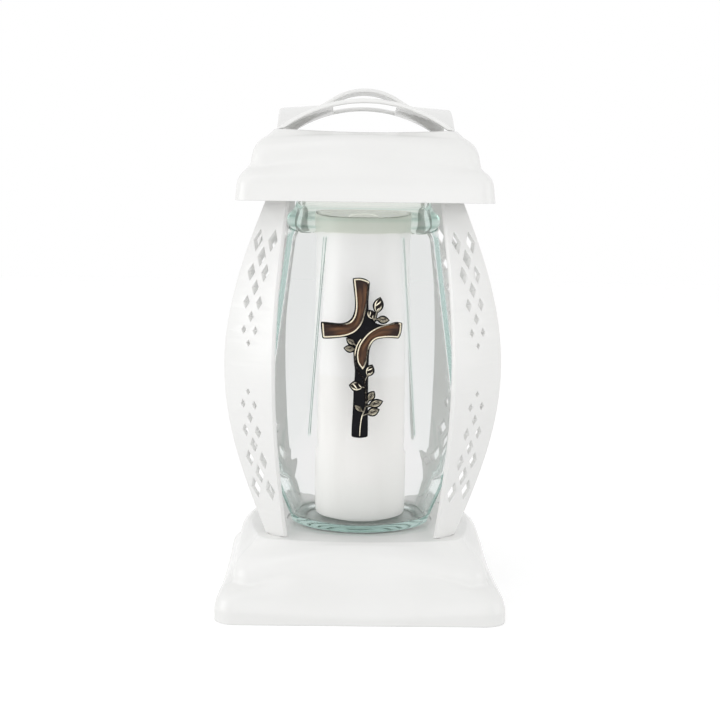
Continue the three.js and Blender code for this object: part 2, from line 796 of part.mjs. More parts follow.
// The plate and the two enamelled bands. Each edge is a smooth line through its points, as shares
// of the cross's height across and up, and the next edge starts where it ends
const plateEdgeShares = [
  [[-0.051, 0.006], [0.002, -0.002], [0.052, 0.007]],
  [
    [0.052, 0.007], [0.051, 0.095], [0.05, 0.215], [0.05, 0.342], [0.051, 0.43], [0.052, 0.5],
    [0.056, 0.546], [0.064, 0.576], [0.08, 0.602], [0.106, 0.619], [0.145, 0.626], [0.19, 0.627],
    [0.238, 0.624],
  ],
  [[0.238, 0.624], [0.254, 0.659], [0.261, 0.723]],
  [
    [0.261, 0.723], [0.22, 0.73], [0.182, 0.718], [0.136, 0.71], [0.095, 0.72], [0.063, 0.75],
    [0.048, 0.8], [0.046, 0.853], [0.05, 0.918], [0.054, 0.977],
  ],
  [[0.054, 0.977], [0.026, 0.996], [-0.012, 1.004], [-0.056, 1]],
  [
    [-0.056, 1], [-0.049, 0.936], [-0.042, 0.883], [-0.039, 0.837], [-0.043, 0.795],
    [-0.056, 0.757], [-0.077, 0.733], [-0.107, 0.72], [-0.145, 0.717], [-0.194, 0.722],
    [-0.251, 0.726],
  ],
  [[-0.251, 0.726], [-0.251, 0.69], [-0.241, 0.619]],
  [
    [-0.241, 0.619], [-0.193, 0.619], [-0.136, 0.625], [-0.09, 0.629], [-0.062, 0.617],
    [-0.048, 0.588], [-0.046, 0.532], [-0.042, 0.478], [-0.035, 0.427], [-0.036, 0.38],
    [-0.041, 0.32], [-0.043, 0.233], [-0.047, 0.142], [-0.051, 0.06], [-0.051, 0.006],
  ],
];
const upperBandShares = [
  [[-0.048, 0.994], [-0.004, 0.996], [0.048, 0.979]],
  [
    [0.048, 0.979], [0.045, 0.929], [0.04, 0.872], [0.035, 0.827], [0.026, 0.781], [0.013, 0.731],
    [-0.008, 0.693], [-0.032, 0.667], [-0.06, 0.65], [-0.094, 0.638], [-0.136, 0.631],
    [-0.185, 0.627], [-0.236, 0.625],
  ],
  [[-0.236, 0.625], [-0.244, 0.719]],
  [
    [-0.244, 0.719], [-0.194, 0.715], [-0.149, 0.711], [-0.111, 0.713], [-0.082, 0.719],
    [-0.061, 0.732], [-0.045, 0.755], [-0.036, 0.784], [-0.032, 0.82], [-0.033, 0.856],
    [-0.037, 0.9], [-0.042, 0.945], [-0.048, 0.994],
  ],
];
const lowerBandShares = [
  [
    [0.254, 0.721], [0.222, 0.724], [0.19, 0.719], [0.159, 0.712], [0.125, 0.702], [0.091, 0.687],
    [0.061, 0.668], [0.038, 0.648], [0.02, 0.627], [0.005, 0.606], [-0.008, 0.583], [-0.017, 0.558],
    [-0.022, 0.533], [-0.023, 0.509], [-0.02, 0.485], [-0.013, 0.463], [0.013, 0.428],
  ],
  [
    [0.013, 0.428], [0.024, 0.442], [0.032, 0.458], [0.038, 0.477], [0.042, 0.499], [0.045, 0.523],
    [0.049, 0.547], [0.055, 0.569], [0.065, 0.59], [0.08, 0.609], [0.101, 0.622], [0.134, 0.629],
    [0.17, 0.632], [0.206, 0.632], [0.235, 0.63],
  ],
  [[0.235, 0.63], [0.249, 0.664], [0.254, 0.721]],
];

function edgedShape(edgeShares) {
  const shape = new THREE.Shape();
  const place = ([across, up]) => new THREE.Vector2(across * crossHeight, up * crossHeight);
  const first = place(edgeShares[0][0]);
  shape.moveTo(first.x, first.y);
  for (const edge of edgeShares) {
    shape.splineThru(edge.slice(1).map(place));
  }
  return shape;
}

// Leaves and buds: [across, up, length, width, stalk, turn in degrees], the first five as shares of
// the cross's height
const vineLeafShares = [
  [-0.06, 0.601, 0.064, 0.032, 0.014, 142],
  [-0.068, 0.557, 0.064, 0.034, 0.01, 173],
  [0.057, 0.421, 0.07, 0.047, 0.034, 66],
  [-0.024, 0.323, 0.079, 0.056, 0.016, 172],
  [0.068, 0.262, 0.06, 0.038, 0.03, 57],
  [0.098, 0.216, 0.083, 0.04, 0.03, 19],
  [0.082, 0.164, 0.073, 0.041, 0.034, 21],
  [-0.008, 0.184, 0.064, 0.029, 0.012, 141],
];
const sprayLeafShares = [
  [0.107, 0.831, 0.093, 0.051, 0.046, 77],
  [0.138, 0.741, 0.068, 0.036, 0.03, -4],
  [0.061, 0.771, 0.06, 0.043, 0.014, 122],
];
const vineShares = [
  [0, 0.012], [0.003, 0.07], [0.012, 0.131], [0.03, 0.181], [0.037, 0.235], [0.031, 0.31],
  [0.022, 0.37], [-0.006, 0.401], [-0.027, 0.456], [-0.035, 0.513], [-0.029, 0.56],
  [-0.014, 0.596], [0.001, 0.618],
];

function leafPlace([across, up, , , , degrees], x, y) {
  const turn = degrees * Math.PI / 180;
  return new THREE.Vector2(
    across * crossHeight + x * Math.cos(turn) - y * Math.sin(turn),
    up * crossHeight + x * Math.sin(turn) + y * Math.cos(turn),
  );
}

function leafShape(leaf, rim) {
  const half = leaf[2] * crossHeight / 2 + rim;
  const bulge = leaf[3] * crossHeight + 2 * rim;
  const base = leafPlace(leaf, -half, 0);
  const tip = leafPlace(leaf, half, 0);
  const right = leafPlace(leaf, 0, -bulge);
  const left = leafPlace(leaf, 0, bulge);
  const shape = new THREE.Shape();
  shape.moveTo(base.x, base.y);
  shape.quadraticCurveTo(right.x, right.y, tip.x, tip.y);
  shape.quadraticCurveTo(left.x, left.y, base.x, base.y);
  return shape;
}

function stalkShape(leaf, rim) {
  const half = crossVineWidth / 2 + rim;
  const inner = -leaf[2] * crossHeight / 4;
  const outer = -(leaf[2] / 2 + leaf[4]) * crossHeight - rim;
  return new THREE.Shape([
    leafPlace(leaf, outer, -half), leafPlace(leaf, inner, -half),
    leafPlace(leaf, inner, half), leafPlace(leaf, outer, half),
  ]);
}

// A flat layer on the pane, from one height above the glass to another
function paneLayer(shapes, low, thickness) {
  const options = { depth: thickness, bevelEnabled: false, curveSegments: curveSteps };
  const layer = new THREE.ExtrudeGeometry(shapes, options);
  return layer.translate(0, 0, low);
}

const padLow = restGap;
const plateLow = padLow + crossPadThickness + restGap;
const trimLow = plateLow + crossPlateThickness + restGap;

function makeCrossPad() {
  return paneLayer(padOutline(), padLow, crossPadThickness);
}

function makeCrossPlate() {
  const plate = paneLayer(edgedShape(plateEdgeShares), plateLow, crossPlateThickness);
  const leaves = [...vineLeafShares, ...sprayLeafShares];
  const lobes = leaves.flatMap((leaf) => [leafShape(leaf, leafRim), stalkShape(leaf, leafRim)])
    .map((shape) => paneLayer(shape, plateLow, crossPlateThickness));
  return toGeometry(join([plate, ...lobes]));
}

function makeBand(edgeShares) {
  return paneLayer(edgedShape(edgeShares), trimLow, crossEnamelThickness);
}

function leafLayers(leafShares) {
  return leafShares.flatMap((leaf) => [
    paneLayer(leafShape(leaf, 0), trimLow, crossVineThickness),
    paneLayer(stalkShape(leaf, 0), trimLow, crossVineWidth),
  ]);
}

function makeSpray() {
  return toGeometry(join(leafLayers(sprayLeafShares)));
}

function makeVine() {
  const half = crossVineWidth / 2;
  const points = vineShares.map(([across, up]) => (
    new THREE.Vector3(across * crossHeight, up * crossHeight, trimLow + half)));
  const section = new THREE.Shape([
    new THREE.Vector2(-half, -half), new THREE.Vector2(half, -half),
    new THREE.Vector2(half, half), new THREE.Vector2(-half, half),
  ]);
  const path = new THREE.CatmullRomCurve3(points);
  const stem = new THREE.ExtrudeGeometry(section, { steps: vineSteps, extrudePath: path });
  return toGeometry(join([stem, ...leafLayers(vineLeafShares)]));
}

// The assembly: fixed pieces, the lift-off roof and the insert
const lantern = new THREE.Group();

function add(parent, name, geometry, finish) {
  const mesh = new THREE.Mesh(geometry, new THREE.MeshStandardMaterial(finishes[finish]));
  mesh.name = name;
  parent.add(mesh);
  return mesh;
}

add(lantern, 'base_shell', makeBase(), 'plastic');
const pillarNames = ['pillar_rear_right', 'pillar_rear_left', 'pillar_front_left', 'pillar_front_right'];
pillarNames.forEach((name, corner) => {
  const pillar = add(lantern, name, makePillar(), 'plastic');
  pillar.rotation.z = Math.PI / 4 + corner * Math.PI / 2;
});
add(lantern, 'jar_adhesive', makeAdhesive(), 'adhesive');
add(lantern, 'glass_jar', makeJar(), 'glass');

const ornament = new THREE.Group();
const footFlat = jarKneeRadius * Math.cos(Math.PI / jarSides) - (crossFootZ - jarKneeZ) * paneSlope;
ornament.position.set(-crossSideStep, -footFlat, crossFootZ);
ornament.rotation.x = Math.PI / 2 - Math.atan(paneSlope);
lantern.add(ornament);
add(ornament, 'cross_pad', makeCrossPad(), 'pad');
add(ornament, 'cross_plate', makeCrossPlate(), 'darkPlate');
add(ornament, 'enamel_upper_left', makeBand(upperBandShares), 'enamel');
add(ornament, 'enamel_lower_right', makeBand(lowerBandShares), 'enamel');
add(ornament, 'rose_vine', makeVine(), 'gold');
add(ornament, 'rose_spray', makeSpray(), 'gold');

const roof = new THREE.Group();
lantern.add(roof);
add(roof, 'roof_shell', makeRoof(), 'plastic');
add(roof, 'crown_handle', makeCrown(), 'plastic');
add(roof, 'heat_shield', makeShield(), 'steel');
makeScrews().forEach((screw, i) => add(roof, `shield_screw_${i + 1}`, screw, 'screw'));

const insert = new THREE.Group();
lantern.add(insert);
add(insert, 'insert_cup', makeCup(), 'cup');
add(insert, 'insert_wax', makeWax(), 'wax');
add(insert, 'wick_sustainer', makeSustainer(), 'steel');
add(insert, 'insert_wick', makeWick(), 'wick');
add(insert, 'insert_lid', makeLid(), 'lid');

export default lantern;
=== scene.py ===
"""Grave lantern: white moulded base, pillars, roof and handle, a pressed glass jar with a glued
ornamental cross, and a candle insert. Lengths are in millimetres and go over to metres when a mesh is
made, apart from the lamps and the depths of fine grain, which are in metres. The front looks along
-Y, and the ground is at Z = 0."""
import math

import bmesh
import bpy
import numpy as np
from mathutils import Matrix, Vector


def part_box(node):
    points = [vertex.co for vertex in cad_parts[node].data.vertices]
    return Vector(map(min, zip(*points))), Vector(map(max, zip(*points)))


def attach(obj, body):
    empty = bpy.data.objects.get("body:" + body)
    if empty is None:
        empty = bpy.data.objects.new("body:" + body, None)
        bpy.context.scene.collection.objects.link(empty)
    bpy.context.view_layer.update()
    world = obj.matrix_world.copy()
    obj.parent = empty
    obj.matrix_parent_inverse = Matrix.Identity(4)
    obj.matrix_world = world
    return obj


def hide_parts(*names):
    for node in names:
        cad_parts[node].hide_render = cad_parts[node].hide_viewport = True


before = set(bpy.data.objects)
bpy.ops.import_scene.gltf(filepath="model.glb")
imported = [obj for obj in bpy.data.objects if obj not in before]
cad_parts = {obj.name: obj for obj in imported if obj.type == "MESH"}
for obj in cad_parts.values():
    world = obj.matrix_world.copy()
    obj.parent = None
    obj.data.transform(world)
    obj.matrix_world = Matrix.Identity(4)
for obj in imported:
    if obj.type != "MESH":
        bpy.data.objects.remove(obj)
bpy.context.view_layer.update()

MM = 0.001


def node_box(name):
    """Lowest and highest corners of a node, in millimetres."""
    low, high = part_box(name)
    return np.array(low) / MM, np.array(high) / MM


# Sizes that the frame gives
BASE_HIGH = node_box("base_shell")[1]
ROOF_LOW, ROOF_HIGH = node_box("roof_shell")
JAR_LOW, JAR_HIGH = node_box("glass_jar")
CUP_LOW, CUP_HIGH = node_box("insert_cup")
WAX_LOW, WAX_HIGH = node_box("insert_wax")
LID_LOW, LID_HIGH = node_box("insert_lid")
WICK_LOW, WICK_HIGH = node_box("insert_wick")
SHIELD_LOW, SHIELD_HIGH = node_box("heat_shield")

BASE_HALF = BASE_HIGH[0]
PLATE_Z = BASE_HIGH[2]
ROOF_HALF = ROOF_HIGH[0]
JAR_FOOT_Z = JAR_LOW[2]
JAR_RIM_Z = JAR_HIGH[2]
JAR_KNEE_RADIUS = JAR_HIGH[0]

# Base and roof mouldings
WALL = 2.2
BASE_CORNER_RADIUS = 12
ROOF_CORNER_RADIUS = 10
DECK_CORNER_RADIUS = 5
SIDE_STEPS = 26
CORNER_STEPS = 10
OUTLINE_STEP = 0.8
EASING_ROUNDS = 3
FADE_RINGS = 8
LIP = 0.5
# Outlines as [half width, height] at a corner, then in mid side, as shares of the half width and
# of the height
BASE_TIER_SHARES = [
    (1, 0, 1, 0), (1, 0.16, 0.994, 0.14), (0.976, 0.33, 0.957, 0.33), (0.93, 0.42, 0.917, 0.51),
    (0.883, 0.463, 0.89, 0.68), (0.873, 0.62, 0.878, 0.77), (0.83, 0.77, 0.861, 0.885),
    (0.76, 0.905, 0.82, 0.975), (0.72, 1, 0.79, 1),
]
BASE_CREASES = (4, 7)
ROOF_TIER_SHARES = [
    (1, 0, 1, 0), (0.983, 0.27, 0.983, 0.27), (0.95, 0.382, 0.95, 0.42), (0.896, 0.465, 0.9, 0.585),
    (0.884, 0.555, 0.888, 0.65), (0.873, 0.665, 0.876, 0.755), (0.85, 0.765, 0.853, 0.85),
    (0.804, 0.855, 0.808, 0.912), (0.764, 0.9, 0.768, 0.935), (0.71, 1, 0.714, 0.967),
]
ROOF_CREASES = (3, 8)
DECK_SHARES = (0.985, 0.96, 0.9, 0.75, 0.55, 0.35, 0.15)
SEAT_RADIUS = 43.6
SEAT_DEPTH = 1.6
SEAT_WALL = 1.8
TAB_CLEARANCE = 0.3
SOCKET_WALL = 1.6
SOCKET_DEPTH = 3
ROOF_RISE = 39.8
ROOF_MID_DROP = 0.033 * ROOF_RISE
COLLAR_RADIUS = 41.8
COLLAR_WALL = 2.2
COLLAR_LEDGE_WIDTH = 4.6
COLLAR_LEDGE_THICKNESS = 2
VENT_COUNT = 8
VENT_RADIUS = 3
VENT_CIRCLE_RADIUS = 35
BOSS_RADIUS = 3.2
BOSS_CIRCLE_RADIUS = 25
SCREW_COUNT = 4
PILOT_RADIUS = 1.4
GAP = 0.3
CORNER_TURNS = [math.pi / 4 + corner * math.pi / 2 for corner in range(4)]

# Pillars
PILLARS = ("pillar_rear_right", "pillar_rear_left", "pillar_front_left", "pillar_front_right")
PILLAR_THICKNESS = 3
PILLAR_FOOT_WIDTH = 15.5
PILLAR_TIP_WIDTH = 14.5
PILLAR_MID_WIDTH = 40
PILLAR_BOW = 22.2
PILLAR_FOOT_RADIAL = 67.94
PILLAR_TIP_RADIAL = 67.03
PILLAR_EDGE = 0.45
PILLAR_SIDE_STEPS = 48
PILLAR_CUT_STEP = 3.2
TAB_WIDTH = 10
TAB_REACH = 11.8
LATTICE_ROWS = 8
LATTICE_START_SHARE = 0.138
LATTICE_PITCH_SHARE = 0.072
LATTICE_GROWTH_SHARE = 0.0015
# Diamonds: share in the innermost row, and how much it grows with each row
DIAMOND_HEIGHT_SHARES = (0.037, 0.0127)
DIAMOND_WIDTH_SHARES = (0.078, 0.0155)
DIAMOND_SPREAD_SHARES = (0.114, 0.0055)

# Glass jar
JAR_WALL = 3
JAR_FLOOR = 4
JAR_SHOULDER_RADIUS = 44
JAR_FOOT_FLAT = 40.3
JAR_FOOT_RADIUS = 43
JAR_FOOT_ROUND = 3.4
JAR_LOW_CORNER_RADIUS = 56
JAR_LOW_CORNER_HEIGHT = 30
JAR_NECK_RADIUS = 39.7
JAR_BEAD_RADIUS = 45.6
JAR_BEAD_RISE = 7
JAR_RIM_RADIUS = 41.2
JAR_RIM_RISE = 3.4
JAR_RIM_ROUND = 0.8
JAR_CHAMFER = 0.36
JAR_CREASE = 1.1
JAR_INNER_CREASE = 2.6
NECK_CREASE = 0.8
# Half the angle round an edge of the jar in which its points lie closer together
EDGE_ANGLE = 0.03
JAR_BORE_RADIUS = JAR_NECK_RADIUS - JAR_WALL
KNEE_HEIGHT = 58
BEAD_HEIGHT = 180
KNEE_Z = JAR_FOOT_Z + KNEE_HEIGHT
BEAD_Z = JAR_FOOT_Z + BEAD_HEIGHT
NECK_LOW_Z = BEAD_Z - JAR_BEAD_RISE
JAR_SIDES = 6
JAR_SIDE = 2 * math.pi / JAR_SIDES
JAR_FLAT = math.cos(math.pi / JAR_SIDES)
# The bead's profile: height from its widest place, and how far it falls back from there
BEAD_PROFILE = [(-7, -6.9), (-4.8, -2.5), (-2.8, -0.7), (-0.4, 0), (1.9, -0.4), (4, -1.9),
                (6.4, -4.1), (9.4, -5.5), (14, -5.9)]
GLASS_IOR = 1.1
GLASS_DENSITY = 15
GLASS_HUE = (0.2, 0.46, 0.4)
# Painted shade lines on the glass, which stand in for what it refracts at its edges, belly and foot, each
# as how dark and how broad
BELLY_LINE = (0.3, 0.8)
FOOT_LINE = (0.12, 0.9)
FOOT_LINE_RISE = 1.6
FAINT_LINE = (0.15, 0.5)
OUTER_LINE = (0.55, 1)
SOFT_LINES = ((0.5, 0.55), (0.16, 1.6))
SHARP_LINE_WIDTH = 0.24
SHARP_LINE_FILL = 0.25
UNDER_BEAD_LINE = (0.7, 0.8)
UNDER_BEAD_DROP = 3.4
# Painted stripes round the neck and the bead, which stand in for what the bead refracts, each with its
# height over the bead's widest place
NECK_STRIPES = [(1.2, (0.24, 1.2)), (4.6, (0.1, 0.7)), (7.6, (0.12, 0.9))]

# Handle
CROWN_HALF = 49.5
CROWN_LOW_Z = ROOF_HIGH[2] + GAP
CROWN_WALL = 2.3
FRONT_ARCH_RISE = 17
SIDE_ARCH_RISE = 13.6
SIDE_ARCH_MID_RISE = 17.2
WINDOW_HALF = 18.7
WINDOW_RIM = 7.5
GRIP_RISE = 24.6
GRIP_RADIUS = 35.5
GRIP_HALF_SPAN = 22
GRIP_FOOT_RUN = 7
GRIP_FOOT_DROP = 3.8
GRIP_DEPTH = 34
RIM_ROUND = 0.7
PEG_INSET = 2.6
PEG_RADIUS = 1.2
PEG_HEAD_RADIUS = 1.9

# Candle insert, and the painted light on it: a glow painted on the cup's milky wall and on the lid's top,
# which are no lamps
CUP_RADIUS = 27
CUP_WALL = 0.9
CUP_FLARE = 0.9
CUP_PAINTED_GLOW = 0.08
LID_PAINTED_GLOW = 0.4
WAX_GAP = 0.3
WICK_RADIUS = 0.76
WICK_RIB = 0.12
WICK_TWIST = 1.7
LID_SHEET = 0.5
LID_HOLE_RADIUS = 9
LID_DISH = 2

# Cross
CROSS_HEIGHT = 90.4
CROSS_FOOT_RISE = 0.1
CROSS_SIDE_STEP = 1.3
PLATE_LOW = 1.1
PLATE_THICKNESS = 1.9
TRIM_LOW = 3.3
VINE_RADIUS = 0.5
RIM_RADIUS = 0.43
LEAF_RIM = 0.8
PLATE_ROUND = 0.85
LEAF_ROUND = 0.45
STALK_ROUND = 0.4
STALK_RADIUS = 0.32
STALK_RISE = 0.35
VINE_RISE = 0.5
RELIEF_EDGE_RISE = 0.12
ENAMEL_RISE = 0.35
ENAMEL_CROWN = 0.4
# Edges of the plate and of the two bands, each a smooth line through its points as shares of the
# cross's height across and up
PLATE_EDGE_SHARES = [
    [(-0.051, 0.006), (0.002, -0.002), (0.052, 0.007)],
    [(0.052, 0.007), (0.051, 0.095), (0.05, 0.215), (0.05, 0.342), (0.051, 0.43), (0.052, 0.5),
     (0.056, 0.546), (0.064, 0.576), (0.08, 0.602), (0.106, 0.619), (0.145, 0.626), (0.19, 0.627),
     (0.238, 0.624)],
    [(0.238, 0.624), (0.254, 0.659), (0.261, 0.723)],
    [(0.261, 0.723), (0.22, 0.73), (0.182, 0.718), (0.136, 0.71), (0.095, 0.72), (0.063, 0.75),
     (0.048, 0.8), (0.046, 0.853), (0.05, 0.918), (0.054, 0.977)],
    [(0.054, 0.977), (0.026, 0.996), (-0.012, 1.004), (-0.056, 1)],
    [(-0.056, 1), (-0.049, 0.936), (-0.042, 0.883), (-0.039, 0.837), (-0.043, 0.795), (-0.056, 0.757),
     (-0.077, 0.733), (-0.107, 0.72), (-0.145, 0.717), (-0.194, 0.722), (-0.251, 0.726)],
    [(-0.251, 0.726), (-0.251, 0.69), (-0.241, 0.619)],
    [(-0.241, 0.619), (-0.193, 0.619), (-0.136, 0.625), (-0.09, 0.629), (-0.062, 0.617), (-0.048, 0.588),
     (-0.046, 0.532), (-0.042, 0.478), (-0.035, 0.427), (-0.036, 0.38), (-0.041, 0.32), (-0.043, 0.233),
     (-0.047, 0.142), (-0.051, 0.06), (-0.051, 0.006)],
]
UPPER_BAND_SHARES = [
    [(-0.048, 0.994), (-0.004, 0.996), (0.048, 0.979)],
    [(0.048, 0.979), (0.045, 0.929), (0.04, 0.872), (0.035, 0.827), (0.026, 0.781), (0.013, 0.731),
     (-0.008, 0.693), (-0.032, 0.667), (-0.06, 0.65), (-0.094, 0.638), (-0.136, 0.631), (-0.185, 0.627),
     (-0.236, 0.625)],
    [(-0.236, 0.625), (-0.244, 0.719)],
    [(-0.244, 0.719), (-0.194, 0.715), (-0.149, 0.711), (-0.111, 0.713), (-0.082, 0.719), (-0.061, 0.732),
     (-0.045, 0.755), (-0.036, 0.784), (-0.032, 0.82), (-0.033, 0.856), (-0.037, 0.9), (-0.042, 0.945),
     (-0.048, 0.994)],
]
LOWER_BAND_SHARES = [
    [(0.254, 0.721), (0.222, 0.724), (0.19, 0.719), (0.159, 0.712), (0.125, 0.702), (0.091, 0.687),
     (0.061, 0.668), (0.038, 0.648), (0.02, 0.627), (0.005, 0.606), (-0.008, 0.583), (-0.017, 0.558),
     (-0.022, 0.533), (-0.023, 0.509), (-0.02, 0.485), (-0.013, 0.463), (0.013, 0.428)],
    [(0.013, 0.428), (0.024, 0.442), (0.032, 0.458), (0.038, 0.477), (0.042, 0.499), (0.045, 0.523),
     (0.049, 0.547), (0.055, 0.569), (0.065, 0.59), (0.08, 0.609), (0.101, 0.622), (0.134, 0.629),
     (0.17, 0.632), (0.206, 0.632), (0.235, 0.63)],
    [(0.235, 0.63), (0.249, 0.664), (0.254, 0.721)],
]
# Leaves and buds: across, up, length, width and stalk as shares of the cross's height, then the turn
# in degrees and whether it is a bud
VINE_LEAF_SHARES = [
    (-0.06, 0.601, 0.064, 0.032, 0.014, 142, False),
    (-0.068, 0.557, 0.064, 0.034, 0.01, 173, False),
    (0.057, 0.421, 0.07, 0.047, 0.034, 66, True),
    (-0.024, 0.323, 0.079, 0.056, 0.016, 172, True),
    (0.068, 0.262, 0.06, 0.038, 0.03, 57, False),
    (0.098, 0.216, 0.083, 0.04, 0.03, 19, False),
    (0.082, 0.164, 0.073, 0.041, 0.034, 21, False),
    (-0.008, 0.184, 0.064, 0.029, 0.012, 141, False),
]
SPRAY_LEAF_SHARES = [
    (0.107, 0.831, 0.093, 0.051, 0.046, 77, True),
    (0.138, 0.741, 0.068, 0.036, 0.03, -4, False),
    (0.061, 0.771, 0.06, 0.043, 0.014, 122, True),
]
VINE_SHARES = [
    (0, 0.012), (0.003, 0.07), (0.012, 0.131), (0.03, 0.181), (0.037, 0.235), (0.031, 0.31),
    (0.022, 0.37), (-0.006, 0.401), (-0.027, 0.456), (-0.035, 0.513), (-0.029, 0.56),
    (-0.014, 0.596), (0.001, 0.618),
]
# Up the vine: share of its length, its radius, and how much gilding is left
VINE_WEAR = [(0, 0.28, 0.45), (0.15, 0.32, 0.75), (0.2, 0.44, 0.3), (0.27, 0.49, 0.2), (0.55, 0.49, 0.12),
             (0.62, 0.34, 0.12), (0.74, 0.32, 0.2), (0.82, 0.36, 0.8), (0.95, 0.36, 0.8), (1, 0.3, 0.7)]

# Camera, solved from the photograph, and light
CAMERA_PLACE = (-13.2, -882.2, 242.8)
CAMERA_TARGET = (-0.9, 0, 139.65)
CAMERA_ROLL = 0.78
CAMERA_LENS = 74
LIGHT_TURNS = 40
# Lamps: place and size in metres, and power in watts. All of them aim at one place.
LAMPS = {
    "key_light": ((-0.5, -0.9, 1.3), (0.9, 0.9), 2),
    "front_fill": ((0.2, -1.5, 0.25), (1.2, 0.9), 3),
    "left_fill": ((-1.4, -0.4, 0.25), (0.9, 0.9), 5),
    "right_fill": ((1.4, -0.4, 0.25), (0.9, 0.9), 2.8),
}
LAMP_AIM = (0, 0, 0.15)
ROOM_LIGHT = 0.76
FLOOR_HALF = 3000
FLOOR_LIFT = 0.36


# Small tools for outlines and meshes

def catmull(before, start, end, after, share):
    """A point between start and end on a smooth line through all four."""
    return 0.5 * (
        2 * start
        + (end - before) * share
        + (2 * before - 5 * start + 4 * end - after) * share ** 2
        + (3 * start - before - 3 * end + after) * share ** 3
    )


def spline(padded, steps_between):
    """A smooth line from the second of some points up to the last but one, which it leaves out."""
    line = []
    for i in range(1, len(padded) - 2):
        count = steps_between(padded[i], padded[i + 1])
        line.extend(catmull(*padded[i - 1:i + 3], k / count) for k in range(count))
    return line


def smooth_line(points, steps):
    """A smooth line through points, with so many steps between two of them."""
    points = np.array(points, float)
    padded = np.vstack([points[:1], points, points[-1:]])
    return np.array([*spline(padded, lambda start, end: steps), points[-1]])


def eased(line, rounds):
    """A line whose inner points have moved towards their neighbours, so many times."""
    for _ in range(rounds):
        line[1:-1] = line[1:-1] / 2 + (line[:-2] + line[2:]) / 4
    return line


def creased_line(points, creases):
    """A smooth line between creases, sampled evenly, with the creases eased a little."""
    points = np.array(points, float)
    stops = [0, *creases, len(points) - 1]
    line = []
    for first, last in zip(stops, stops[1:]):
        part = points[first:last + 1]
        padded = np.vstack([2 * part[0] - part[1], part, 2 * part[-1] - part[-2]])
        line += spline(padded, lambda start, end: max(
            2, math.ceil(np.linalg.norm(end[:2] - start[:2]) / OUTLINE_STEP)))
    return eased(np.array([*line, points[-1]]), EASING_ROUNDS)


def smooth_step(value, low, high):
    share = np.clip((value - low) / (high - low), 0, 1)
    return share * share * (3 - 2 * share)


def smooth_min(a, b, size):
    """The lower of two values, with a rounded change from one to the other."""
    near = np.clip(0.5 + 0.5 * (b - a) / size, 0, 1)
    return b + (a - b) * near - size * near * (1 - near)


def smooth_max(a, b, size):
    return -smooth_min(-a, -b, size)


def circle(angles, radii, z):
    """Points round Z at their own angles and distances."""
    return np.stack([radii * np.cos(angles), radii * np.sin(angles), np.full(len(angles), z)], axis=1)


def link(name, data):
    """A new object in the scene."""
    obj = bpy.data.objects.new(name, data)
    bpy.context.collection.objects.link(obj)
    return obj


def shade(obj, sharp=40):
    mesh = obj.data
    mesh.polygons.foreach_set("use_smooth", [True] * len(mesh.polygons))
    mesh.set_sharp_from_angle(angle=math.radians(sharp))


def make_object(name, vertices, faces, material, sharp=40):
    """A smooth-shaded mesh object from places in millimetres."""
    mesh = bpy.data.meshes.new(name)
    mesh.from_pydata([tuple(MM * float(c) for c in v) for v in vertices], [], faces)
    if material is not None:
        mesh.materials.append(material)
    obj = link(name, mesh)
    shade(obj, sharp)
    return obj


def store(obj, name, values):
    """Keeps a number at each vertex, for a material to read."""
    layer = obj.data.attributes.new(name, "FLOAT", "POINT")
    layer.data.foreach_set("value", np.array(values, np.float32))


def places_of(obj):
    return np.array([v.co for v in obj.data.vertices]) / MM


def skin(rings, capped=True, looped=False):
    """Vertices and faces of a surface over rings with the same number of points."""
    count = len(rings[0])
    total = count * len(rings)
    last = total - count
    vertices = [tuple(p) for ring in rings for p in ring]
    faces = []
    for start in range(0, total if looped else last, count):
        above = (start + count) % total
        for i in range(count):
            after = (i + 1) % count
            faces.append((start + i, start + after, above + after, above + i))
    if capped:
        vertices += [tuple(np.mean(rings[0], axis=0)), tuple(np.mean(rings[-1], axis=0))]
        faces += [((i + 1) % count, i, total) for i in range(count)]
        faces += [(last + i, last + (i + 1) % count, total + 1) for i in range(count)]
    return vertices, faces


def lathe(name, profile, segments, material, sharp=40):
    """A body turned about Z from [radius, height] pairs. An end off the axis closes on the start."""
    angles = np.arange(segments) * 2 * math.pi / segments
    rings = [circle(angles, r, z) for r, z in profile if r > 0]
    if profile[0][0] == 0:
        vertices, faces = skin(rings)
        vertices[-2:] = [(0, 0, profile[0][1]), (0, 0, profile[-1][1])]
        return make_object(name, vertices, faces, material, sharp)
    obj = make_object(name, *skin([*rings, rings[0]], capped=False), material, sharp)
    weld(obj)
    shade(obj, sharp)
    return obj


def plug(radius, low, high, segments):
    """A plain round block, for cutting and joining."""
    return lathe("plug", [(0, low), (radius, low), (radius, high), (0, high)], segments, None)


def block(low, high):
    """A plain block, for cutting and joining."""
    corners = [(x, y, z) for z in (low[2], high[2]) for y in (low[1], high[1]) for x in (low[0], high[0])]
    faces = [(0, 2, 3, 1), (4, 5, 7, 6), (0, 1, 5, 4), (2, 6, 7, 3), (0, 4, 6, 2), (1, 3, 7, 5)]
    return make_object("block", corners, faces, None)


def rounded_profile(points, radii, steps=4):
    """A polyline whose inner corners are rounded, each by its own radius."""
    points = [np.array(p, float) for p in points]
    line = [points[0]]
    for before, corner, after, radius in zip(points, points[1:], points[2:], radii):
        back, ahead = np.linalg.norm(before - corner), np.linalg.norm(after - corner)
        reach = min(radius, back / 2.05, ahead / 2.05)
        start = corner + (before - corner) / back * reach
        end = corner + (after - corner) / ahead * reach
        for t in np.arange(steps + 1) / steps:
            line.append((1 - t) ** 2 * start + 2 * t * (1 - t) * corner + t * t * end)
    line.append(points[-1])
    return [tuple(p) for p in line]


def weld(obj, distance=1e-6):
    work = bmesh.new()
    work.from_mesh(obj.data)
    bmesh.ops.remove_doubles(work, verts=work.verts, dist=distance)
    bmesh.ops.recalc_face_normals(work, faces=work.faces)
    work.to_mesh(obj.data)
    work.free()


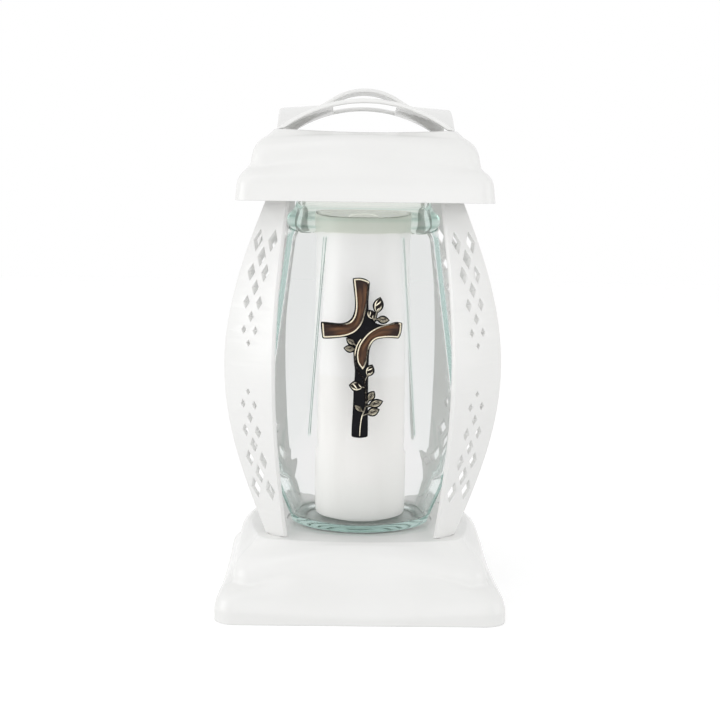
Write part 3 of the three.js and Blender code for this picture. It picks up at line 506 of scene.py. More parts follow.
def evaluated_mesh(obj):
    graph = bpy.context.evaluated_depsgraph_get()
    return bpy.data.meshes.new_from_object(obj.evaluated_get(graph))


def merged(name, objects, *materials, sharp=40):
    """One object in place of several. Where there are several materials, each part keeps its own."""
    work = bmesh.new()
    for slot, obj in enumerate(objects):
        first = len(work.faces)
        work.from_mesh(obj.data)
        bpy.data.objects.remove(obj)
        work.faces.ensure_lookup_table()
        for face in work.faces[first:]:
            face.material_index = slot if len(materials) > 1 else 0
    mesh = bpy.data.meshes.new(name)
    work.to_mesh(mesh)
    work.free()
    for material in materials:
        mesh.materials.append(material)
    obj = link(name, mesh)
    shade(obj, sharp)
    return obj


def combine(obj, others, operation, sharp=40):
    """Joins obj with others, or cuts them out of it, and drops them. It keeps its own material."""
    material = obj.data.materials[0]
    other = merged("others", others)
    modifier = obj.modifiers.new("combine", "BOOLEAN")
    modifier.object = other
    modifier.operation = operation
    modifier.solver = "EXACT"
    mesh = evaluated_mesh(obj)
    obj.modifiers.clear()
    obj.data = mesh
    mesh.materials.clear()
    mesh.materials.append(material)
    bpy.data.objects.remove(other)
    shade(obj, sharp)


def around(count, radius, make):
    """Things set evenly round Z."""
    things = []
    for i in range(count):
        thing = make()
        thing.data.transform(Matrix.Translation((radius * MM, 0, 0)))
        thing.data.transform(Matrix.Rotation((i + 0.5) / count * 2 * math.pi, 4, "Z"))
        things.append(thing)
    return things




# Materials

class Tree:
    """A node tree with short ways to add to it. An input takes a value or another node's output, and
    its name is written with _ for a space."""

    def __init__(self, owner):
        owner.use_nodes = True
        self.nodes = owner.node_tree.nodes
        self.links = owner.node_tree.links

    def put(self, socket, value):
        if isinstance(value, bpy.types.NodeSocket):
            self.links.new(value, socket)
        else:
            socket.default_value = value

    def fill(self, node, **inputs):
        for name, value in inputs.items():
            self.put(node.inputs[name.replace("_", " ")], value)

    def add(self, kind, output, **inputs):
        node = self.nodes.new("ShaderNode" + kind)
        self.fill(node, **inputs)
        return node.outputs[output]

    def attribute(self, name):
        node = self.nodes.new("ShaderNodeAttribute")
        node.attribute_name = name
        return node.outputs["Fac"]

    def math(self, operation, *values):
        node = self.nodes.new("ShaderNodeMath")
        node.operation = operation
        for socket, value in zip(node.inputs, values):
            self.put(socket, value)
        return node.outputs["Value"]

    def mix(self, blend, factor, first, second):
        node = self.nodes.new("ShaderNodeMix")
        node.data_type = "RGBA"
        node.blend_type = blend
        self.fill(node, Factor=factor, A=first, B=second)
        return node.outputs["Result"]

    def ramp(self, source, *stops):
        """Colours over a value, with stops as (place, colour)."""
        node = self.nodes.new("ShaderNodeValToRGB")
        elements = node.color_ramp.elements
        while len(elements) < len(stops):
            elements.new(0.5)
        for element, (place, colour) in zip(elements, stops):
            element.position = place
            element.color = (*colour, 1)
        self.put(node.inputs["Fac"], source)
        return node.outputs["Color"]

    def spread(self, source, low, high):
        """A value from 0 to 1 laid over a range."""
        return self.add("MapRange", "Result", Value=source, To_Min=low, To_Max=high)

    def noise(self, scale, detail, roughness=0.5, vector=None):
        """Noise over the object's own place, with scale as lumps a metre, or over another vector."""
        if vector is None:
            vector = self.add("TexCoord", "Object")
        return self.add("TexNoise", "Fac", Scale=scale, Detail=detail, Roughness=roughness, Vector=vector)

    def grain(self, scale, detail, strength, distance):
        """The normal of a surface with a fine grain."""
        return self.add("Bump", "Normal", Height=self.noise(scale, detail), Strength=strength,
                        Distance=distance)

    def white_to_the_lens(self):
        """1 for rays from the camera, mirrors and glass, and 0 for the light on the object."""
        rays = self.nodes.new("ShaderNodeLightPath").outputs
        either = self.math("MAXIMUM", rays["Is Camera Ray"], rays["Is Glossy Ray"])
        return self.math("MAXIMUM", either, rays["Is Transmission Ray"])


def painted(name):
    """A new material, its tree and its shader."""
    material = bpy.data.materials.new(name)
    tree = Tree(material)
    return material, tree, tree.nodes["Principled BSDF"]


def mottled(name, dark, light, roughness, scale, grain, depth, painted_glow=0.0, **inputs):
    """A material whose colour and roughness drift a little, with a fine grain. It may glow by its
    painted_glow attribute, a painted light."""
    material, tree, shader = painted(name)
    drift = tree.noise(scale, 3)
    if painted_glow:
        inputs["Emission_Strength"] = tree.spread(tree.attribute("painted_glow"), 0, painted_glow)
    tree.fill(shader, Base_Color=tree.ramp(drift, (0.3, dark), (0.7, light)),
              Roughness=tree.spread(drift, *roughness), Normal=tree.grain(grain, 4, 0.25, depth), **inputs)
    return material


def glass_material():
    """Pressed glass whose slanting walls hold more of its green tint, with painted shade along its edges
    and neck.
    """
    material, tree, shader = painted("pressed_glass")
    slant = tree.add("LayerWeight", "Facing", Blend=0.5)
    walls = tree.ramp(slant, (0, (0.94, 0.925, 0.928)), (0.35, (0.945, 0.934, 0.935)),
                      (0.6, (0.925, 0.915, 0.915)), (1, (0.62, 0.7, 0.67)))
    walls = tree.mix("MIX", tree.attribute("neck"), walls, (0.926, 0.92, 0.9, 1))
    # Painted shade: dark lines by the edge attribute, which stand in for what the glass refracts
    lines = tree.ramp(tree.attribute("edge"), (0, (1, 1, 1)), (0.3, (0.72, 0.82, 0.78)),
                      (1, (0.05, 0.1, 0.085)))
    tree.fill(shader, Base_Color=tree.mix("MULTIPLY", 1, lines, walls), Transmission_Weight=1,
              Roughness=0.015, IOR=GLASS_IOR, Normal=tree.grain(38, 2, 0.08, 0.0005))
    depth = tree.add("VolumeAbsorption", "Volume", Color=(*GLASS_HUE, 1), Density=GLASS_DENSITY)
    mix = tree.nodes.new("ShaderNodeMixShader")
    clear = tree.add("BsdfTransparent", "BSDF")
    shaders = (tree.add("LightPath", "Is Shadow Ray"), shader.outputs["BSDF"], clear)
    for socket, source in zip(mix.inputs, shaders):
        tree.put(socket, source)
    tree.fill(tree.nodes["Material Output"], Surface=mix.outputs["Shader"], Volume=depth)
    return material


def gilt_material(name, ground, gold, metallic):
    """Gilding that is worn down to a dark ground in the hollows, with painted highlights on edges facing
    left or down, both by the gilt_and_painted_light attribute.
    """
    material, tree, shader = painted(name)
    wear = tree.noise(900, 5, 0.65)
    total = tree.math("MULTIPLY_ADD", wear, 0.5, tree.attribute("gilt_and_painted_light"))
    worn = tuple(0.45 * g + 0.2 * d for g, d in zip(gold, ground))
    tree.fill(shader, Base_Color=tree.ramp(total, (0.42, ground), (0.62, worn), (0.8, gold)),
              Metallic=metallic, Roughness=tree.spread(wear, 0.16, 0.42),
              Normal=tree.grain(2600, 3, 0.3, 0.00006))
    return material


def enamel_material():
    """Brown glossy enamel with streaks along its band, and painted shade where it lies against its rim."""
    material, tree, shader = painted("brown_enamel")
    place = tree.add("CombineXYZ", "Vector", X=tree.attribute("band_across"),
                     Y=tree.attribute("band_along"))
    total = tree.math("MULTIPLY_ADD", tree.attribute("painted_rim_shade"), 0.3, tree.noise(0.55, 1.5, vector=place))
    colour = tree.ramp(total, (0.4, (0.012, 0.006, 0.005)), (0.62, (0.035, 0.015, 0.009)),
                       (0.8, (0.11, 0.05, 0.023)), (0.98, (0.21, 0.095, 0.04)))
    tree.fill(shader, Base_Color=colour, Roughness=0.16, Specular_IOR_Level=0.16)
    return material


def cup_material():
    """Milky plastic through which the wax shows as a slightly denser lower part, with a painted glow."""
    material, tree, shader = painted("milky_cup_plastic")
    height = tree.add("SeparateXYZ", "Z", Vector=tree.add("TexCoord", "Object"))
    level = tree.add("MapRange", "Result", Value=height, From_Min=MM * (WAX_HIGH[2] - 1),
                     From_Max=MM * (WAX_HIGH[2] + 1))
    total = tree.math("MULTIPLY_ADD", tree.noise(40, 3), 0.3, level)
    colour = tree.ramp(total, (0, (0.9, 0.892, 0.868)), (0.2, (0.905, 0.9, 0.88)),
                       (1, (0.935, 0.935, 0.925)))
    tree.fill(shader, Base_Color=colour, Roughness=0.32, Emission_Color=(1, 1, 0.995, 1),
              Emission_Strength=tree.spread(tree.attribute("painted_glow"), 0, CUP_PAINTED_GLOW),
              Normal=tree.grain(700, 3, 0.2, 0.00003))
    return material


def brushed_material(name, colour, roughness):
    """Rolled sheet metal with fine streaks along X."""
    material, tree, shader = painted(name)
    stretched = tree.add("Mapping", "Vector", Vector=tree.add("TexCoord", "Object"), Scale=(30, 900, 900))
    streaks = tree.noise(1, 4, vector=stretched)
    darker = tuple(0.8 * c for c in colour)
    tree.fill(shader, Base_Color=tree.ramp(streaks, (0.3, darker), (0.7, colour)), Metallic=1,
              Roughness=tree.spread(streaks, *roughness))
    return material


PLASTIC = mottled("white_moulded_plastic", (0.865, 0.865, 0.852), (0.885, 0.885, 0.874),
                  (0.2, 0.3), 22, 1500, 0.00003)
GLASS = glass_material()
CUP = cup_material()
WAX = mottled("candle_wax", (0.86, 0.845, 0.8), (0.9, 0.885, 0.845), (0.45, 0.65), 60, 300, 0.0002,
              Subsurface_Weight=0.3, Subsurface_Scale=0.004)
# The lid's top glows by painted light
LID = mottled("lacquered_tinplate", (0.87, 0.88, 0.82), (0.9, 0.91, 0.86), (0.35, 0.45), 60, 1200, 0.00002,
              LID_PAINTED_GLOW, Emission_Color=(1, 1, 0.96, 1))
STEEL = brushed_material("sheet_steel", (0.62, 0.63, 0.64), (0.25, 0.45))
SCREW = mottled("plated_screw", (0.5, 0.5, 0.5), (0.62, 0.62, 0.63), (0.25, 0.4), 500, 3000, 0.00002,
                Metallic=1)
WICK = mottled("cotton_wick", (0.78, 0.74, 0.64), (0.88, 0.85, 0.77), (0.85, 0.95), 900, 2500, 0.0002)
FOAM = mottled("adhesive_foam", (0.12, 0.12, 0.12), (0.18, 0.18, 0.18), (0.8, 0.95), 500, 2500, 0.0002)
ADHESIVE = mottled("set_silicone", (0.78, 0.8, 0.78), (0.84, 0.85, 0.83), (0.3, 0.45), 120, 600, 0.0001,
                   Transmission_Weight=0.3)
DARK = mottled("black_casting", (0.002, 0.0025, 0.004), (0.006, 0.006, 0.009), (0.16, 0.34), 160, 1800,
               0.00005, Specular_IOR_Level=0.08)
GILT = gilt_material("worn_gilding", (0.012, 0.009, 0.009), (0.9, 0.83, 0.66), 0.9)
RIM = gilt_material("gilt_rim", (0.02, 0.016, 0.014), (0.88, 0.8, 0.62), 0.95)
ENAMEL = enamel_material()


# Base and roof mouldings

def square_ring(corner_half, corner_z, mid_half, mid_z, radius):
    """A square ring with round corners, whose sides go over to their own distance and height."""
    reach = corner_half - radius
    points = []
    for i in range(SIDE_STEPS):
        u = 2 * i / SIDE_STEPS - 1
        blend = 1 - u * u
        points.append((corner_half + (mid_half - corner_half) * blend, reach * u,
                       corner_z + (mid_z - corner_z) * blend))
    for i in range(CORNER_STEPS):
        angle = i / CORNER_STEPS * math.pi / 2
        points.append((reach + radius * math.cos(angle), reach + radius * math.sin(angle), corner_z))
    ring = []
    for side in range(4):
        turn = side * math.pi / 2
        for out, along, height in points:
            ring.append((out * math.cos(turn) - along * math.sin(turn),
                         out * math.sin(turn) + along * math.cos(turn), height))
    return np.array(ring)


def moulding_rings(outline, radii, offset):
    """Rings along an outline, pulled in and down by an offset that fades out at the lower edge."""
    rings = []
    for i, (corner_half, corner_z, mid_half, mid_z) in enumerate(outline):
        radius = radii[0] + (radii[1] - radii[0]) * (i / (len(outline) - 1)) - offset
        drop = offset * smooth_step(i, 0, FADE_RINGS)
        rings.append(square_ring(corner_half - offset, corner_z - drop, mid_half - offset, mid_z - drop,
                                 radius))
    return rings


def tier_walls(shares, half, low, height, creases, radii):
    """Outer and inner rings up the tiers."""
    sizes = np.array([half, height, half, height])
    outline = creased_line(np.array(shares, float) * sizes + np.array([0, low, 0, low]), creases)
    outline[:, [0, 2]] = np.minimum(outline[:, [0, 2]], half)
    return moulding_rings(outline, radii, 0), moulding_rings(outline, radii, WALL)


def circle_like(ring, radius, height):
    """A circle whose points lie at the same angles as a ring's."""
    return circle(np.arctan2(ring[:, 1], ring[:, 0]), radius, height)


def moved(ring, inset, rise):
    """A ring pulled in and raised."""
    length = np.linalg.norm(ring[:, :2], axis=1, keepdims=True)
    ring = ring.copy()
    ring[:, :2] *= 1 - inset / length
    ring[:, 2] += rise
    return ring


def tab_blocks(clearance, low, high):
    """Four blocks round the pillars' tabs."""
    across, along = PILLAR_THICKNESS / 2 + clearance, TAB_WIDTH / 2 + clearance
    blocks = []
    for turn in CORNER_TURNS:
        tab = block((PILLAR_FOOT_RADIAL - across, -along, low), (PILLAR_FOOT_RADIAL + across, along, high))
        tab.data.transform(Matrix.Rotation(turn, 4, "Z"))
        blocks.append(tab)
    return blocks


def make_base():
    outer, inner = tier_walls(BASE_TIER_SHARES, BASE_HALF, 0, PLATE_Z, BASE_CREASES,
                              (BASE_CORNER_RADIUS, BASE_CORNER_RADIUS))
    edge = outer[-1]
    seat_z = PLATE_Z - SEAT_DEPTH
    seat = [(SEAT_RADIUS + 0.5, PLATE_Z), (SEAT_RADIUS + 0.15, PLATE_Z - 0.15),
            (SEAT_RADIUS, PLATE_Z - 0.5), (SEAT_RADIUS, seat_z + 0.3),
            (SEAT_RADIUS - 0.1, seat_z + 0.1), (SEAT_RADIUS - 0.4, seat_z)]
    seat_rings = [circle_like(edge, radius, z) for radius, z in seat]
    plate_edges = [moved(edge, 0.35, 0), moved(edge, 1.2, 0)]
    plate = [plate_edges[-1] + (seat_rings[0] - plate_edges[-1]) * share for share in (0.35, 0.7)]
    under = [circle_like(edge, SEAT_RADIUS + SEAT_WALL, z - WALL) for z in (seat_z, PLATE_Z)]
    inside = [inner[0], *inner[4::4], inner[-1]]
    outside = [moved(outer[0], LIP, 0), moved(outer[0], LIP / 4, LIP / 3), *outer[1:-1],
               moved(edge, -0.02, -0.12)]
    rings = [*under, *reversed(inside), *outside, *plate_edges, *plate, *seat_rings]
    base = make_object("base_moulding", *skin(rings), PLASTIC)
    low = PLATE_Z - WALL - SOCKET_DEPTH
    combine(base, tab_blocks(TAB_CLEARANCE + SOCKET_WALL, low, PLATE_Z - 1), "UNION")
    combine(base, tab_blocks(TAB_CLEARANCE, low - 5, PLATE_Z + 5), "DIFFERENCE")
    return base


def make_roof():
    low = ROOF_LOW[2]
    outer, inner = tier_walls(ROOF_TIER_SHARES, ROOF_HALF, low, ROOF_RISE, ROOF_CREASES,
                              (ROOF_CORNER_RADIUS, DECK_CORNER_RADIUS))
    edge = outer[-1]
    centre_z = edge[:, 2].mean()
    deck = []
    for share in DECK_SHARES:
        weight = smooth_step(share, 0.3, 1)
        heights = edge[:, 2] * weight + centre_z * (1 - weight)
        deck.append(np.column_stack([edge[:, :2] * share, heights]))
    under = [moved(ring, 0, -WALL) for ring in deck[1::2]]
    inside = [inner[0], *inner[4::4]]
    outside = [moved(outer[0], LIP, 0), moved(outer[0], 0.12, 0.15), *outer[1:-1], moved(edge, 0.02, -0.15)]
    rings = [*reversed(under), *reversed(inside), *outside, *deck]
    roof = make_object("roof_moulding", *skin(rings), PLASTIC)
    ceiling = centre_z - WALL / 2
    ledge = JAR_RIM_Z + GAP
    ledge_top = ledge + COLLAR_LEDGE_THICKNESS
    bore, outer_radius = COLLAR_RADIUS - COLLAR_LEDGE_WIDTH, COLLAR_RADIUS + COLLAR_WALL
    collar = lathe("collar", [
        (bore, ledge), (COLLAR_RADIUS, ledge), (COLLAR_RADIUS, low + WALL), (outer_radius, low + WALL),
        (outer_radius, ceiling), (COLLAR_RADIUS, ceiling), (COLLAR_RADIUS, ledge_top), (bore, ledge_top),
    ], 96, None)
    combine(roof, [collar], "UNION")
    boss_low = SHIELD_HIGH[2] + GAP
    bosses = around(SCREW_COUNT, BOSS_CIRCLE_RADIUS, lambda: plug(BOSS_RADIUS, boss_low, ceiling, 32))
    combine(roof, bosses, "UNION")
    vents = around(VENT_COUNT, VENT_CIRCLE_RADIUS,
                   lambda: plug(VENT_RADIUS, ceiling - 2 * WALL, ceiling + 2 * WALL, 32))
    pilots = around(SCREW_COUNT, BOSS_CIRCLE_RADIUS,
                    lambda: plug(PILOT_RADIUS, boss_low - 5, boss_low + 6, 16))
    combine(roof, [*vents, *pilots], "DIFFERENCE")
    return roof


# Pillars

def pillar_loops(low, half):
    """A pillar's outline in width and height, with its tab below, and its diamonds."""
    right = [(TAB_WIDTH / 2, low - TAB_REACH), (TAB_WIDTH / 2, low)]
    for i in range(PILLAR_SIDE_STEPS + 1):
        share = 2 * i / PILLAR_SIDE_STEPS - 1
        end = PILLAR_FOOT_WIDTH + (PILLAR_TIP_WIDTH - PILLAR_FOOT_WIDTH) * (share + 1) / 2
        width = end + (PILLAR_MID_WIDTH - end) * math.cos(share * math.pi / 2)
        right.append((width / 2, low + half * (share + 1)))
    loops = [[*right, *[(-x, z) for x, z in reversed(right)]]]
    for way in (-1, 1):
        for row in range(LATTICE_ROWS):
            share = LATTICE_START_SHARE + LATTICE_PITCH_SHARE * row + LATTICE_GROWTH_SHARE * row * row
            z = low + half * (1 + way * share)
            tall, wide, apart = (size * (first + growth * row) for size, (first, growth) in (
                (half / 2, DIAMOND_HEIGHT_SHARES), (PILLAR_MID_WIDTH / 2, DIAMOND_WIDTH_SHARES),
                (PILLAR_MID_WIDTH, DIAMOND_SPREAD_SHARES)))
            for x in (-apart, apart) if row % 2 else (0,):
                loops.append([(x, z - tall), (x + wide, z), (x, z + tall), (x - wide, z)])
    return loops


def filled_solid(name, loops, low, thickness, edge, material, steps=3):
    """A flat solid between loops drawn in a plane, with rounded edges, from one height to another."""
    curve = bpy.data.curves.new(name, "CURVE")
    curve.dimensions = "2D"
    curve.fill_mode = "BOTH"
    curve.extrude = MM * (thickness / 2 - edge)
    curve.bevel_depth = MM * edge
    curve.bevel_resolution = steps
    curve.offset = -MM * edge
    for loop in loops:
        part = curve.splines.new("POLY")
        part.points.add(len(loop) - 1)
        for point, (x, y) in zip(part.points, loop):
            point.co = (MM * x, MM * y, 0, 1)
        part.use_cyclic_u = True
    source = link(name, curve)
    mesh = evaluated_mesh(source)
    bpy.data.objects.remove(source)
    mesh.transform(Matrix.Translation((0, 0, MM * (low + thickness / 2))))
    mesh.materials.clear()
    mesh.materials.append(material)
    obj = link(name, mesh)
    weld(obj, 2e-6)
    shade(obj)
    return obj


def make_pillar(name, turn):
    low = PLATE_Z + GAP
    high = node_box(name)[1][2]
    half = (high - low) / 2
    pillar = filled_solid(name.replace("pillar", "openwork"), pillar_loops(low, half),
                          -PILLAR_THICKNESS / 2, PILLAR_THICKNESS, PILLAR_EDGE, PLASTIC)
    work = bmesh.new()
    work.from_mesh(pillar.data)
    for z in np.arange(low, high, PILLAR_CUT_STEP):
        geometry = [*work.verts, *work.edges, *work.faces]
        bmesh.ops.bisect_plane(work, geom=geometry, plane_co=(0, MM * z, 0), plane_no=(0, 1, 0))
    for vertex in work.verts:
        width, z, depth = (c / MM for c in vertex.co)
        share = max(-1, min(1, (z - low) / half - 1))
        radial = (PILLAR_FOOT_RADIAL + (PILLAR_TIP_RADIAL - PILLAR_FOOT_RADIAL) * (share + 1) / 2
                  + PILLAR_BOW * math.cos(share * math.pi / 2) + depth)
        vertex.co = Vector((radial, width, z)) * MM
    bmesh.ops.recalc_face_normals(work, faces=work.faces)
    bmesh.ops.rotate(work, verts=work.verts, matrix=Matrix.Rotation(turn, 3, "Z"))
    work.to_mesh(pillar.data)
    work.free()
    shade(pillar)
    return pillar


# Glass jar

def folded(angle, width):
    """An angle as its distance from the nearest multiple of a width."""
    return angle - width * np.round(angle / width)


def jar_body(angles, z, inset, crease):
    """The jar's radius below its shoulder: an upper six-sided taper, a lower one turned by half a
    side, and a round foot."""
    taper = JAR_KNEE_RADIUS - JAR_SHOULDER_RADIUS
    upper_corner = JAR_KNEE_RADIUS + (KNEE_Z - z) * taper / (BEAD_Z - KNEE_Z)
    upper = (upper_corner * JAR_FLAT - inset) / np.cos(folded(angles - JAR_SIDE / 2, JAR_SIDE))
    chamfer = (upper_corner - JAR_CHAMFER - inset / JAR_FLAT) / np.cos(folded(angles, JAR_SIDE))
    lower_flat = JAR_FOOT_FLAT + (z - JAR_FOOT_Z) * (JAR_KNEE_RADIUS - JAR_FOOT_FLAT) / KNEE_HEIGHT
    lower = (lower_flat - inset) / np.cos(folded(angles, JAR_SIDE))
    low_z = JAR_FOOT_Z + (JAR_FLOOR if inset else 0)
    rise = np.clip((z - low_z) / JAR_FOOT_ROUND, 0, 1)
    foot = JAR_FOOT_RADIUS - JAR_FOOT_ROUND * (1 - math.sqrt(1 - (1 - rise) ** 2))
    belly_slope = (JAR_LOW_CORNER_RADIUS - JAR_FOOT_RADIUS) / (JAR_LOW_CORNER_HEIGHT - JAR_FOOT_ROUND)
    belly = foot + max(0, z - low_z - JAR_FOOT_ROUND) * belly_slope - inset
    belly += max(0, z - JAR_FOOT_Z - JAR_LOW_CORNER_HEIGHT) * 2
    radius = smooth_min(upper, chamfer, 0.12 if not inset else 3)
    radius = smooth_min(radius, lower, crease)
    return smooth_min(radius, belly, crease)


def neck_radius(z):
    """The neck's outer radius over its bead, and the small flare at its rim."""
    line = smooth_line(BEAD_PROFILE, 8)
    radius = JAR_BEAD_RADIUS + np.interp(z - BEAD_Z, line[:, 0], line[:, 1])
    flare = smooth_step(JAR_RIM_RISE - (JAR_RIM_Z - z), 0, JAR_RIM_RISE / 2)
    return radius + (JAR_RIM_RADIUS - JAR_NECK_RADIUS) * flare


def jar_outer(angles, z):
    """The glass's outside: its body, and from the bead upwards its round neck."""
    body = jar_body(angles, z, 0, JAR_CREASE)
    if z < NECK_LOW_Z - 3:
        return body
    neck = np.full(len(angles), neck_radius(z)) - max(0, NECK_LOW_Z - z) * 4
    return smooth_max(body - max(0, z - BEAD_Z) * 4, neck, NECK_CREASE)


def jar_inner(angles, z):
    """The glass's inside, which goes over to the round bore at the bead."""
    body = jar_body(angles, z, JAR_WALL, JAR_INNER_CREASE)
    return body + (JAR_BORE_RADIUS - body) * smooth_step(z, BEAD_Z - 12, BEAD_Z + 3)


def jar_angles():
    """Angles round the jar, closer together at the six edges."""
    near = np.linspace(-EDGE_ANGLE, EDGE_ANGLE, 25)
    far = np.linspace(EDGE_ANGLE, JAR_SIDE - EDGE_ANGLE, 36)[1:-1]
    return np.concatenate([np.concatenate([near, far]) + k * JAR_SIDE for k in range(JAR_SIDES)])


def jar_heights(low):
    """Heights up the jar, closer together at the foot, the facets' ends and the bead."""
    high = JAR_RIM_Z - JAR_RIM_ROUND
    foot = np.linspace(0, 1, 9) ** 1.6 * JAR_FOOT_ROUND + low
    facets = np.arange(foot[-1] + 1, KNEE_Z + 6, 1.1)
    panes = np.arange(facets[-1] + 3, BEAD_Z - 12, 3.5)
    bead = np.arange(panes[-1] + 1, high, 0.75)
    return np.concatenate([foot, facets, panes, bead, [high]])


def make_jar():
    angles = jar_angles()
    floor_z = JAR_FOOT_Z + JAR_FLOOR
    sole_radii = jar_outer(angles, JAR_FOOT_Z)
    sole = [circle(angles, sole_radii * share, JAR_FOOT_Z + lift)
            for share, lift in ((0.4, 1), (0.8, 0.9), (0.9, 0.1))]
    outer = [circle(angles, jar_outer(angles, z), z) for z in jar_heights(JAR_FOOT_Z)]
    inner = [circle(angles, jar_inner(angles, z), z) for z in jar_heights(floor_z)]
    middle, half = (JAR_RIM_RADIUS + JAR_BORE_RADIUS) / 2, (JAR_RIM_RADIUS - JAR_BORE_RADIUS) / 2
    lip = [circle(angles, middle + half * math.cos(turn), JAR_RIM_Z - JAR_RIM_ROUND * (1 - math.sin(turn)))
           for turn in math.pi * np.arange(1, 8) / 8]
    floor_rings = [circle(angles, jar_inner(angles, floor_z) * share, floor_z) for share in (0.9, 0.5)]
    rings = [*sole, *outer, *lip, *reversed(inner), *floor_rings]
    jar = make_object("pressed_jar", *skin(rings), GLASS, 55)
    paint_glass_shade(jar, angles, [*sole, *outer])
    return jar


def painted_line(distance, line):
    """How dark a painted line is at a distance from its middle."""
    dark, width = line
    return dark * np.exp(-(distance / width) ** 2)


def paint_glass_shade(jar, angles, outer_rings):
    """Stores painted shade for the glass, as dark lines along its six upright edges, its belly, its foot
    and round its neck and bead, which stand in for what the glass refracts, and where its neck is. Each
    front edge shows the two sides of its chamfer as painted lines, the left one sharply and the right one
    blurred."""
    corner = (np.round(angles / JAR_SIDE) % JAR_SIDES).astype(int)
    sideways = np.abs(np.cos(angles))
    marks = []
    for ring in outer_rings:
        z = ring[0, 2]
        radii = np.linalg.norm(ring[:, :2], axis=1)
        if z <= KNEE_Z:
            belly = np.abs(folded(angles - JAR_SIDE / 2, JAR_SIDE)) * radii
            foot = painted_line(z - JAR_FOOT_Z - FOOT_LINE_RISE, FOOT_LINE)
            marks.append(np.maximum(painted_line(belly, BELLY_LINE) * (sideways > 0.7), foot))
            continue
        if z >= NECK_LOW_Z:
            stripes = sum(painted_line(z - BEAD_Z - height, line) for height, line in NECK_STRIPES)
            below = painted_line(z - BEAD_Z + UNDER_BEAD_DROP, UNDER_BEAD_LINE)
            marks.append(np.maximum(stripes, below * smooth_step(sideways, 0.5, 0.8)))
            continue
        distance = np.abs(folded(angles, JAR_SIDE)) * radii
        ends = smooth_step(z, KNEE_Z, KNEE_Z + 3) * (1 - smooth_step(z, NECK_LOW_Z - 3, NECK_LOW_Z - 1))
        gap = 0.55 + 0.4 * smooth_step(z, NECK_LOW_Z - 40, NECK_LOW_Z)
        sharp = painted_line(distance - gap, (1, SHARP_LINE_WIDTH))
        sharp = np.maximum(sharp, SHARP_LINE_FILL * (distance < gap))
        soft = sum(painted_line(distance, line) for line in SOFT_LINES)
        faint, outer = painted_line(distance, FAINT_LINE), painted_line(distance, OUTER_LINE)
        marks.append(np.choose(corner, [outer, faint, faint, outer, sharp, soft]) * ends)
    values = np.zeros(len(jar.data.vertices))
    values[:len(marks) * len(angles)] = np.concatenate(marks)
    store(jar, "edge", values)
    store(jar, "neck", smooth_step(places_of(jar)[:, 2], NECK_LOW_Z - 2, NECK_LOW_Z + 1))


# Handle

def arc_height(across, rise, drop):
    """Height of a vault over its feet at a distance from its crown, or of its underside."""
    radius = (CROWN_HALF ** 2 + rise ** 2) / (2 * rise)
    return rise - radius + np.sqrt(np.maximum((radius - drop) ** 2 - across ** 2, 0))


def vault_height(x, y, drop):
    """Height of the two crossing vaults, whose valleys are rounded."""
    rise = SIDE_ARCH_MID_RISE + (SIDE_ARCH_RISE - SIDE_ARCH_MID_RISE) * abs(x) / CROWN_HALF
    front, side = arc_height(x, FRONT_ARCH_RISE, drop), arc_height(y, rise, drop)
    return float(smooth_max(front, side, 0.4 if drop else 0.7))


def rim_lines(half, window):
    """Grid lines from edge to edge, closer together by the outer edge and by the window's."""
    near = RIM_ROUND * (1 - np.cos(np.linspace(0, math.pi / 2, 5)))
    outer, inner = half - near, window + near
    middle = np.linspace(inner[-1], outer[-1], max(3, round((half - window) / 1.6)))[1:-1]
    lines = np.concatenate([np.linspace(0, window, 13), inner, middle, outer])
    positive = np.unique(np.round(lines, 6))
    return np.concatenate([-positive[:0:-1], positive])


def make_vault():
    """The two crossing vaults as one shell, with its window."""
    window_y = CROWN_HALF - WINDOW_RIM
    xs, ys = rim_lines(CROWN_HALF, WINDOW_HALF), rim_lines(CROWN_HALF, window_y)
    rows, columns = len(xs) - 1, len(ys) - 1

    def solid(i, j):
        if not (0 <= i < rows and 0 <= j < columns):
            return False
        return abs(xs[i] + xs[i + 1]) / 2 > WINDOW_HALF or abs(ys[j] + ys[j + 1]) / 2 > window_y

    vertices, index = [], {}
    for i, x in enumerate(xs):
        for j, y in enumerate(ys):
            to_outside = min(CROWN_HALF - abs(x), CROWN_HALF - abs(y))
            to_window = max(abs(x) - WINDOW_HALF, abs(y) - window_y)
            depth = min(max(0, min(to_outside, to_window)), RIM_ROUND)
            ease = RIM_ROUND - math.sqrt(RIM_ROUND ** 2 - (RIM_ROUND - depth) ** 2)
            top = vault_height(x, y, 0)
            low = max(0.0, vault_height(x, y, CROWN_WALL))
            ease = min(ease, max(0.0, (top - low) / 2 - 0.1))
            top = max(top - ease, low + 0.5)
            index[i, j] = len(vertices)
            vertices += [(x, y, CROWN_LOW_Z + top), (x, y, CROWN_LOW_Z + low + (ease if low > 0 else 0))]
    faces = []
    for i in range(rows):
        for j in range(columns):
            if not solid(i, j):
                continue
            a, b, c, d = index[i, j], index[i + 1, j], index[i + 1, j + 1], index[i, j + 1]
            faces += [(a, b, c, d), (d + 1, c + 1, b + 1, a + 1)]
            for start, end, di, dj in ((a, b, 0, -1), (b, c, 1, 0), (c, d, 0, 1), (d, a, -1, 0)):
                if not solid(i + di, j + dj):
                    faces.append((start + 1, end + 1, end, start))
    used = sorted({v for face in faces for v in face})
    places = {v: k for k, v in enumerate(used)}
    return make_object("vaulted_handle", [vertices[v] for v in used],
                       [tuple(places[v] for v in face) for face in faces], PLASTIC, 50)


